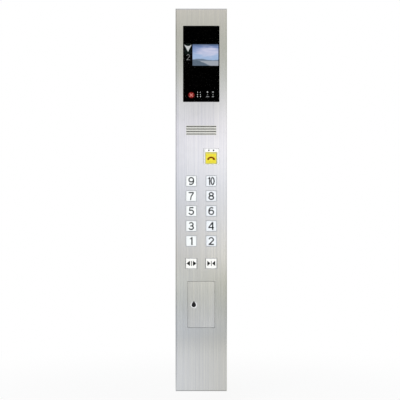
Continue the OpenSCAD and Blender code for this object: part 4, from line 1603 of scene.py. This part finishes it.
class Workshop:
    """Holds the frame and makes materials and pieces."""

    def __init__(self, frame: dict) -> None:
        """Keep the frame's nodes.
        """
        self.nodes: dict[str, bpy.types.Object] = frame["nodes"]
        self.effects = EffectLibrary()
        self._materials: dict[str, bpy.types.Material] = {}

    def material(self, finish: Finish) -> bpy.types.Material:
        """Return the material of a finish, made at its first use.

        Args:
            finish: The finish.

        Returns:
            Its material.
        """
        if finish.name not in self._materials:
            self._materials[finish.name] = finish.make(self.effects)
        return self._materials[finish.name]

    def dress(self, finish: Finish, *names: str) -> None:
        """Give CAD nodes a finish.

        Args:
            finish: The finish.
            *names: Names of the nodes.
        """
        for name in names:
            slots = self.nodes[name].data.materials
            slots.clear()
            slots.append(self.material(finish))
            log.info("dressed %s as %s", name, finish.name)

    def piece(self, name: str, mesh: bpy.types.Mesh, finish: Finish,
              body: str) -> bpy.types.Object:
        """Make an object that rides on a body.

        Args:
            name: Name of the piece.
            mesh: Its mesh in metres.
            finish: Its finish.
            body: The CAD body that carries it.

        Returns:
            The object.
        """
        made = bpy.data.objects.new(name, mesh)
        bpy.context.scene.collection.objects.link(made)
        mesh.materials.clear()
        mesh.materials.append(self.material(finish))
        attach(made, body)
        log.info("made %s on %s", name, body)
        return made

    def mark(self, name: str, shapes: Sequence[Shape], depth: Range, finish: PrintedInk,
             body: str, place: Matrix | None = None) -> bpy.types.Object:
        """Make a flat mark whose shapes are fused into one solid.

        Args:
            name: Name of the piece.
            shapes: Its strokes and patches.
            depth: Y of its front and back in millimetres.
            finish: Its finish.
            body: The CAD body that carries it.
            place: Where the mark is turned and moved to, in millimetres.

        Returns:
            The object.
        """
        made: list[bpy.types.Object] = []
        for index, shape in enumerate(shapes):
            solid = shape.solid(*depth)
            if place is not None:
                bmesh.ops.transform(solid, matrix=place, verts=solid.verts)
            bmesh.ops.scale(solid, vec=(MM, MM, MM), verts=solid.verts)
            mesh = bpy.data.meshes.new(f"{name}_{index}")
            solid.to_mesh(mesh)
            solid.free()
            made.append(bpy.data.objects.new(mesh.name, mesh))
            bpy.context.scene.collection.objects.link(made[-1])
        first = made[0]
        for other in made[1:]:
            union = first.modifiers.new(other.name, "BOOLEAN")
            union.operation = "UNION"
            union.solver = "EXACT"
            union.object = other
        graph = bpy.context.evaluated_depsgraph_get()
        fused = bpy.data.meshes.new_from_object(first.evaluated_get(graph))
        for item in made:
            bpy.data.objects.remove(item)
        mark = self.piece(name, fused, finish, body)
        return mark


# Sub-assemblies


@dataclass
class Assembly(ABC):
    """A sub-assembly of the panel."""

    shop: Workshop

    @abstractmethod
    def build(self) -> None:
        """Dress the nodes and make the pieces of the sub-assembly."""


@dataclass
class FrontPlate(Assembly):
    """Faceplate with what is welded to it and what hangs it on the box."""

    def build(self) -> None:
        """Dress the sheet, the studs and the hooks."""
        self.shop.dress(STEEL, "faceplate")
        self.shop.dress(ZINC, "faceplate_hooks", "weld_studs", "stud_nuts")
        self.shop.dress(NYLON, "stud_spacers")
        self.shop.dress(BRIGHT, "bottom_screws")


@dataclass
class BackBox(Assembly):
    """Box behind the wall, with its terminals and leads."""

    def build(self) -> None:
        """Dress the box and what it holds."""
        self.shop.dress(GALVANISED, "back_box")
        self.shop.dress(ZINC, "box_brackets")
        self.shop.dress(TERMINAL, "terminal_block")
        self.shop.dress(BRIGHT, "terminal_screws")
        self.shop.dress(SLEEVE, "wiring_loom")
        self.shop.dress(BLACK_RUBBER, "cable_grommet")
        self.shop.dress(BRASS, "earth_stud")


@dataclass
class Display(Assembly):
    """Tinted window with the screen, the sign lamp and the lit signs."""

    numerals: Numerals = field(default_factory=lambda: Numerals(pen=1.8))
    screen_depth: Range = (-9.86, -9.66)
    pane_depth: Range = (-10.14, -10.01)
    arrow_centre: Point = (-46.5, 531.1)
    floor: int = 2
    number_centre: Point = (-45.8, 499.9)
    number_scale: float = 0.7
    lamp_centre: Point = (-34.7, 367.3)
    cross_half: float = 5.6
    cross_pen: float = 2.6
    dot_columns: tuple[float, float] = (-13.1, -3.0)
    dot_rows: tuple[float, float, float] = (377.6, 368.8, 361.6)
    dot_radius: float = 0.95
    person_centre: Point = (22.2, 369.4)
    weight_centre: Point = (40.8, 369.4)

    def build(self) -> None:
        """Dress the display's nodes and make its signs."""
        self.shop.dress(PANE, "display_window")
        self.shop.dress(CARRIER, "display_bezel")
        self.shop.dress(PICTURE, "lcd_screen")
        self.shop.dress(PRESSED, "lcd_module")
        self.shop.dress(DISPLAY_PCB, "display_board")
        self.shop.dress(RED_LENS, "sign_lamp")
        self.arrow()
        number = moved(self.numerals.figure(self.floor), self.number_centre, self.number_scale)
        self.shop.mark("floor_number", number, self.screen_depth, LIT_GREY, "panel")
        self.lamp_cross()
        self.dots()
        self.person()
        self.weight()

    def arrow(self) -> None:
        """Make the arrow that points down, with a hollow top edge."""
        hollow = arc((0, 15.5), (12.6, 7.6), 204, 336, 18)
        outline = [(-12.6, 12.2), *hollow, (12.6, 12.2), (0, -12.2)]
        shape = moved([Patch(tuple(outline))], self.arrow_centre)
        self.shop.mark("travel_arrow", shape, self.screen_depth, LIT_WHITE, "panel")

    def lamp_cross(self) -> None:
        """Make the plain cross on the red lamp."""
        half = self.cross_half
        slants = [Stroke(((-half, half * lean), (half, -half * lean)), self.cross_pen)
                  for lean in (1, -1)]
        self.shop.mark("lamp_cross", moved(slants, self.lamp_centre), self.screen_depth,
                       LIT_ROSE, "panel")

    def dots(self) -> None:
        """Make the six dots beside the lamp."""
        places = [(x, z) for z in self.dot_rows for x in self.dot_columns]
        for count, place in enumerate(places, 1):
            self.shop.mark(f"sign_dot_{count}", [disc(place, self.dot_radius)],
                           self.pane_depth, LIT_DOTS, "panel")

    def person(self) -> None:
        """Make the sign of one passenger: head, neck and shoulders."""
        shoulders = Patch(((-5.6, -9.2), (5.6, -9.2), (4.6, -7.2), (2.4, -6.4), (-2.4, -6.4),
                           (-4.6, -7.2)))
        self.sign("person", self.person_centre, {
            "head": (disc((-0.4, 8.4), 2.2), LIT_GREY),
            "neck": (bar(-1.2, 1.2, -1.8, 0.6), LIT_FAINT),
            "shoulders": (shoulders, LIT_FAINT),
        })

    def weight(self) -> None:
        """Make the sign of the load: a weight with its ring."""
        block = Patch(((-4.2, -9.2), (4.2, -9.2), (3.0, -6.2), (-3.0, -6.2)))
        self.sign("weight", self.weight_centre, {
            "ring": (loop((0, 8.3), (1.9, 1.9), 1.1), LIT_GREY),
            "neck": (bar(-1.8, 1.8, -2.2, 0.4), LIT_FAINT),
            "block": (block, LIT_FAINT),
        })

    def sign(self, name: str, centre: Point,
             parts: dict[str, tuple[Shape, PrintedInk]]) -> None:
        """Make a lit sign of several parts.

        Args:
            name: Name of the sign.
            centre: Its middle.
            parts: The parts by name, each with its shape and its glow.
        """
        for part, (shape, glow) in parts.items():
            self.shop.mark(f"{name}_{part}", moved([shape], centre), self.pane_depth, glow,
                           "panel")


@dataclass
class SpeakerUnit(Assembly):
    """Speaker and microphone behind the slots."""

    def build(self) -> None:
        """Dress the speaker and the microphone."""
        self.shop.dress(BLACK_RUBBER, "speaker_gasket", "microphone")
        self.shop.dress(BLACK_COAT, "speaker_frame")
        self.shop.dress(PULP, "speaker_cone")
        self.shop.dress(FERRITE, "speaker_magnet")


@dataclass
class ButtonField(Assembly):
    """Floor and door buttons with their housings, switches and board.

    The reach of a door symbol is the tip and the base of its left triangle, from its middle.
    """

    column: float = 35.0
    row: float = 52.5
    top: float = 65.9
    rows: int = 5
    door_row: float = -222.8
    open_shift: float = 0.7
    open_reach: Range = (-17.4, -5.1)
    close_reach: Range = (-2.8, -13.8)
    depth: Range = (-16.1, -15.9)
    numerals: Numerals = field(default_factory=Numerals)

    def build(self) -> None:
        """Dress caps and housings, and make the numbers and door symbols."""
        self.shop.dress(PALE_RING, "floor_button_housings")
        self.shop.dress(DARK_RING, "door_button_housings")
        self.shop.dress(BLACK_PLASTIC, "microswitches")
        self.shop.dress(LED_LENS, "button_leds")
        self.shop.dress(BUTTON_PCB, "button_board")
        for floor in range(1, 2 * self.rows + 1):
            self.floor(floor)
        self.shop.dress(CAP_DOOR, "door_open_cap", "door_close_cap")
        self.door("door_open", -self.column + self.open_shift, self.open_reach)
        self.door("door_close", self.column, self.close_reach)

    def floor(self, floor: int) -> None:
        """Dress one cap and make its number.

        Args:
            floor: The floor from 1 to 10.
        """
        odd = floor % 2 == 1
        x = -self.column if odd else self.column
        z = self.top - self.row * (self.rows - math.ceil(floor / 2))
        self.shop.dress(CAP_WARM if odd else CAP_COOL, f"floor_cap_{floor}")
        self.shop.mark(f"floor_mark_{floor}", moved(self.numerals.number(floor), (x, z)),
                       self.depth, NUMERAL_INK, f"floor_button_{floor}")

    def door(self, name: str, x: float, reach: Range) -> None:
        """Make the symbol of a door button: two triangles and the line between the doors.

        Args:
            name: Name of the button.
            x: Its place across.
            reach: The reach of its left triangle.
        """
        tip, base = reach
        centre = (x, self.door_row)
        for side, sign in (("left", 1), ("right", -1)):
            triangle = Patch(((tip * sign, 0.5), (base * sign, 9.8), (base * sign, -8.8)))
            self.shop.mark(f"{name}_mark_{side}", moved([triangle], centre), self.depth,
                           BLACK_INK, f"{name}_button")
        self.shop.mark(f"{name}_mark_line", moved([bar(-1.3, 1.3, -8.5, 8.9)], centre),
                       self.depth, NUMERAL_INK, f"{name}_button")


@dataclass
class AlarmButton(Assembly):
    """Alarm cap with its raised guard, lamps and board."""

    handset_centre: Point = (34.4, 144.9)
    grip_pen: float = 5.4
    depth: Range = (-18.58, -18.4)

    def build(self) -> None:
        """Dress the alarm button and make the handset symbol."""
        self.shop.dress(WHITE_GUARD, "alarm_guard")
        self.shop.dress(LAMP_DARK, "alarm_lamps")
        self.shop.dress(BUTTON_PCB, "alarm_board")
        self.shop.dress(CAP_YELLOW, "alarm_cap")
        shapes: list[Shape] = [
            Stroke(tuple(arc((0, -9.6), (13.0, 13.2), 134, 46, 20)), self.grip_pen)]
        for side in (-1, 1):
            shapes.append(Patch(tuple((side * x, z) for x, z in (
                (6.0, 1.6), (10.4, 2.4), (13.2, -0.6), (13.4, -5.4), (6.6, -5.4)))))
        self.shop.mark("alarm_mark", moved(shapes, self.handset_centre), self.depth, BROWN_INK,
                       "alarm_button")


class Rocker(Enum):
    """The four rocker switches and their sides across and up."""

    LIGHT = ("light", -1, 1)
    FAN = ("fan", 1, 1)
    ATTENDANT = ("attendant", -1, -1)
    STOP = ("stop", 1, -1)


@dataclass
class ServiceCabinet(Assembly):
    """Door with its lock and hinge, and the switches behind it.

    The face of a rocker is a shallow V: its valley and its crests stand so far before its
    pivot, and its half is the way from one to the other. The marks lie on its slopes.
    """

    centre: Point = (0.0, -366.3)
    pitch: Point = (22.0, 36.0)
    plate_y: float = 24.0
    tilt: float = 10.0
    half: float = 9.6
    valley: float = 3.2
    crest: float = 5.2
    mark_place: float = 5.4
    mark_depth: Range = (-0.08, 0.1)

    def build(self) -> None:
        """Dress the cabinet and make the marks of the rockers."""
        self.shop.dress(DOOR_STEEL, "service_door")
        self.shop.dress(BRIGHT, "hinge_pins", "plate_screws")
        self.shop.dress(ZINC, "hinge_brackets", "lock_nut", "lock_cam")
        self.shop.dress(LOCK_RING, "lock_barrel")
        self.shop.dress(LOCK_CORE, "lock_plug")
        self.shop.dress(GALVANISED, "service_tray")
        self.shop.dress(SATIN, "switch_plate")
        self.shop.dress(BLACK_PLASTIC, "rocker_housings")
        for rocker in Rocker:
            self.rocker(rocker)

    def rocker(self, rocker: Rocker) -> None:
        """Dress one rocker and make its line and ring.

        Args:
            rocker: Which switch.
        """
        name, across, up = rocker.value
        self.shop.dress(ROCKER, f"{name}_rocker")
        pivot = Vector((self.centre[0] + across * self.pitch[0], self.plate_y,
                        self.centre[1] + up * self.pitch[1]))
        rest = Matrix.Translation(pivot) @ Matrix.Rotation(math.radians(-self.tilt), 4, "X")
        slope = math.atan2(self.crest - self.valley, self.half)
        depth = self.valley + self.mark_place * math.tan(slope)
        shapes = {"on": bar(-0.6, 0.6, -2.2, 2.2), "off": loop((0, 0), (1.8, 1.8), 0.9)}
        for side, (state, shape) in zip((1, -1), shapes.items()):
            seat = Matrix.Translation((0, -depth, side * self.mark_place))
            lean = Matrix.Rotation(side * slope, 4, "X")
            self.shop.mark(f"{name}_rocker_{state}", [shape], self.mark_depth, WHITE_INK,
                           f"{name}_switch", rest @ seat @ lean)


# The studio


class Tint(Enum):
    """Tints of the room that the steel mirrors."""

    PLAIN = (1.0, 1.0, 1.02)
    COOL = (0.95, 1.0, 1.12)
    SEA = (0.88, 1.0, 1.01)
    WARM = (1.08, 1.0, 0.92)
    OLIVE = (0.95, 1.0, 0.8)
    ROSE = (1.07, 1.0, 1.1)


@dataclass(frozen=True)
class SoftLamp:
    """A square lamp that faces the panel: its centre, side, watts and linear colour."""

    name: str
    place: tuple[float, float, float]
    side: float
    power: float
    colour: tuple[float, float, float]

    def light(self) -> None:
        """Add the lamp, which isn't mirrored in the steel."""
        data = bpy.data.lights.new(self.name, "AREA")
        data.size = self.side
        data.energy = self.power
        data.color = self.colour
        lamp = bpy.data.objects.new(self.name, data)
        lamp.location = self.place
        lamp.rotation_euler = Vector(self.place).to_track_quat("Z", "Y").to_euler()
        lamp.visible_glossy = False
        bpy.context.scene.collection.objects.link(lamp)


@dataclass
class Studio:
    """Camera, lamps, mirrored room and floor, in metres.

    The walls are bands of the room from low to high: the sine of the angle above the
    horizon, the brightness and the tint. Their places and levels are rounded output of a
    program that fitted them to the photograph, and not a design to follow. The sides dim
    them from left to right. The floor's gleam grows away from the panel and from left to
    right: each span says from where, to where, from how much and to how much.
    """

    distance: float = 3.889
    front: float = -0.014
    aim: Point = (-0.0044, -0.0005)
    lens: float = 100.0
    sensor: float = 36.0
    sight: float = 50.0
    lamps: tuple[SoftLamp, ...] = (
        SoftLamp("key", (-0.8, -3.0, 1.3), 2.2, 48.0, (1.0, 0.995, 0.985)),
        SoftLamp("fill", (2.0, -2.4, 0.6), 2.0, 13.0, (0.97, 0.985, 1.0)),
    )
    floor_z: float = -0.735
    floor_size: float = 2.0
    paper: Tone = tone(246, 246, 246)
    paper_light: Tone = tone(250, 250, 250)
    paper_roughness: float = 0.9
    paper_gloss: float = 0.1
    paper_grain: float = 500.0
    fade_from: float = 0.4
    fade_to: float = 1.7
    floor_glow: float = 0.86
    floor_gleam: float = 0.86
    gleam_away: Span = (0.12, 0.36, 0.6, 1.0)
    gleam_across: Span = (-0.8, -0.2, 0.62, 1.0)
    air: Tone = (0.98, 0.99, 1.0, 1.0)
    white: Tone = (1.0, 1.0, 1.0, 1.0)
    ambient: float = 0.62
    peak: float = 1.8
    walls: tuple[tuple[float, float, Tint], ...] = (
        (-0.6, 0.75, Tint.SEA),
        (-0.17, 0.88, Tint.SEA),
        (-0.15, 1.5, Tint.PLAIN),
        (-0.125, 0.87, Tint.COOL),
        (-0.1, 0.34, Tint.PLAIN),
        (-0.075, 0.74, Tint.OLIVE),
        (-0.05, 1.08, Tint.WARM),
        (-0.02, 1.0, Tint.PLAIN),
        (0.01, 0.95, Tint.COOL),
        (0.035, 1.5, Tint.PLAIN),
        (0.06, 1.45, Tint.ROSE),
        (0.085, 1.18, Tint.PLAIN),
        (0.115, 0.63, Tint.OLIVE),
        (0.15, 0.46, Tint.OLIVE),
        (0.18, 1.13, Tint.WARM),
        (0.26, 0.8, Tint.PLAIN),
        (0.6, 0.72, Tint.PLAIN),
    )
    sides: tuple[tuple[float, float], ...] = (
        (-0.9, 0.6), (-0.45, 0.62), (-0.2, 0.88), (-0.08, 1.0), (0.2, 1.0), (0.45, 0.78),
        (0.9, 0.8),
    )

    def build(self) -> None:
        """Set up the whole studio."""
        bpy.context.scene.view_settings.view_transform = "Standard"
        self.camera()
        self.world()
        for lamp in self.lamps:
            lamp.light()
        self.floor()

    def camera(self) -> None:
        """Place a long lens straight in front of the panel."""
        data = bpy.data.cameras.new("camera")
        data.lens = self.lens
        data.sensor_width = self.sensor
        data.clip_end = self.sight
        camera = bpy.data.objects.new("camera", data)
        camera.location = (self.aim[0], self.front - self.distance, self.aim[1])
        camera.rotation_euler = (math.radians(90), 0, 0)
        bpy.context.scene.collection.objects.link(camera)
        bpy.context.scene.camera = camera

    def world(self) -> None:
        """White for the camera, soft light all round, and tones that the steel mirrors."""
        world = bpy.data.worlds.new("studio")
        world.use_nodes = True
        bpy.context.scene.world = world
        sheet = NodeSheet(world.node_tree)
        path = sheet.add("ShaderNodeLightPath")
        seen = sheet.math("MAXIMUM", path.outputs["Is Camera Ray"],
                          path.outputs["Is Transmission Ray"])
        lights = []
        for colour, strength in ((self.air, self.ambient), (self.mirrored(sheet), self.peak),
                                 (self.white, 1.0)):
            node = sheet.add("ShaderNodeBackground")
            sheet.wire(node, {"Color": colour, "Strength": strength})
            lights.append(node.outputs[0])
        gloss = self.blend(sheet, path.outputs["Is Glossy Ray"], lights[0], lights[1])
        result = self.blend(sheet, seen, gloss, lights[2])
        sheet.put(result, sheet.add("ShaderNodeOutputWorld").inputs["Surface"])

    def mirrored(self, sheet: NodeSheet) -> bpy.types.NodeSocket:
        """Return the room that the steel mirrors, as shares of its peak.

        Args:
            sheet: The world's nodes.

        Returns:
            The colour of the room.
        """
        x, _, z = sheet.split(sheet.add("ShaderNodeTexCoord").outputs["Generated"])
        height, across = (sheet.times(sheet.plus(part, 1.0), 0.5) for part in (z, x))
        walls = sheet.ramp(height, [
            ((place + 1) / 2, (*(level * part / self.peak for part in tint.value), 1.0))
            for place, level, tint in self.walls])
        sides = sheet.ramp(across, [
            ((place + 1) / 2, (level, level, level, 1.0)) for place, level in self.sides])
        return sheet.mix(1.0, walls, sides, "MULTIPLY")

    @staticmethod
    def blend(sheet: NodeSheet, factor: Value, a: Value, b: Value) -> bpy.types.NodeSocket:
        """Mix two shaders.

        Args:
            sheet: The node tree.
            factor: Share of the second shader.
            a: First shader.
            b: Second shader.

        Returns:
            The mixed shader.
        """
        node = sheet.add("ShaderNodeMixShader")
        for value, socket in zip((factor, a, b), node.inputs):
            sheet.put(value, socket)
        return node.outputs[0]

    def floor(self) -> None:
        """Make the pale floor, which keeps the shadow and hides nothing from below."""
        size = self.floor_size
        mesh = bpy.data.meshes.new("floor")
        corners = [(-size, -size), (size, -size), (size, size), (-size, size)]
        mesh.from_pydata([(x, y, self.floor_z) for x, y in corners], [], [(0, 1, 2, 3)])
        mesh.materials.append(self.floor_paper())
        made = bpy.data.objects.new("floor", mesh)
        bpy.context.scene.collection.objects.link(made)

    def floor_paper(self) -> bpy.types.Material:
        """Make the paper of the floor: white far away, with a gleam that the steel mirrors.

        Returns:
            The material.
        """
        material = bpy.data.materials.new("floor_paper")
        material.use_nodes = True
        sheet = NodeSheet(material.node_tree)
        coords = sheet.coords()
        x, y, _ = sheet.split(coords)
        far = sheet.radius(x, y, (0.0, 0.0))
        grain = sheet.noise(coords, scale=self.paper_grain)
        shader = sheet.add("ShaderNodeBsdfPrincipled")
        sheet.wire(shader, {
            "Base Color": sheet.mix(grain, self.paper, self.paper_light),
            "Roughness": self.paper_roughness,
            "Specular IOR Level": self.paper_gloss,
        })
        gleam = sheet.times(sheet.span(far, *self.gleam_away),
                            sheet.span(x, *self.gleam_across))
        gleam = sheet.times(gleam, self.floor_gleam)
        faces = [shader.outputs[0]]
        for strength in (1.0, gleam):
            lit = sheet.add("ShaderNodeEmission")
            sheet.put(strength, lit.inputs["Strength"])
            faces.append(lit.outputs[0])
        path = sheet.add("ShaderNodeLightPath")
        glow = sheet.span(far, self.fade_from, self.fade_to, self.floor_glow, 1.0, True)
        share = sheet.times(path.outputs["Is Camera Ray"], glow)
        face = self.blend(sheet, share, faces[0], faces[1])
        face = self.blend(sheet, path.outputs["Is Glossy Ray"], face, faces[2])
        under = sheet.add("ShaderNodeNewGeometry").outputs["Backfacing"]
        face = self.blend(sheet, under, face, sheet.add("ShaderNodeBsdfTransparent").outputs[0])
        sheet.put(face, sheet.add("ShaderNodeOutputMaterial").inputs["Surface"])
        return material


def main() -> None:
    """Load the frame, and build the studio and every sub-assembly."""
    logging.basicConfig(level=logging.INFO, format="%(name)s: %(message)s")
    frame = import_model()
    shop = Workshop(frame)
    Studio().build()
    for kind in (FrontPlate, BackBox, Display, SpeakerUnit, ButtonField, AlarmButton,
                 ServiceCabinet):
        kind(shop).build()
        log.info("%s is done", kind.__name__)


if __name__ == "__main__":
    main()
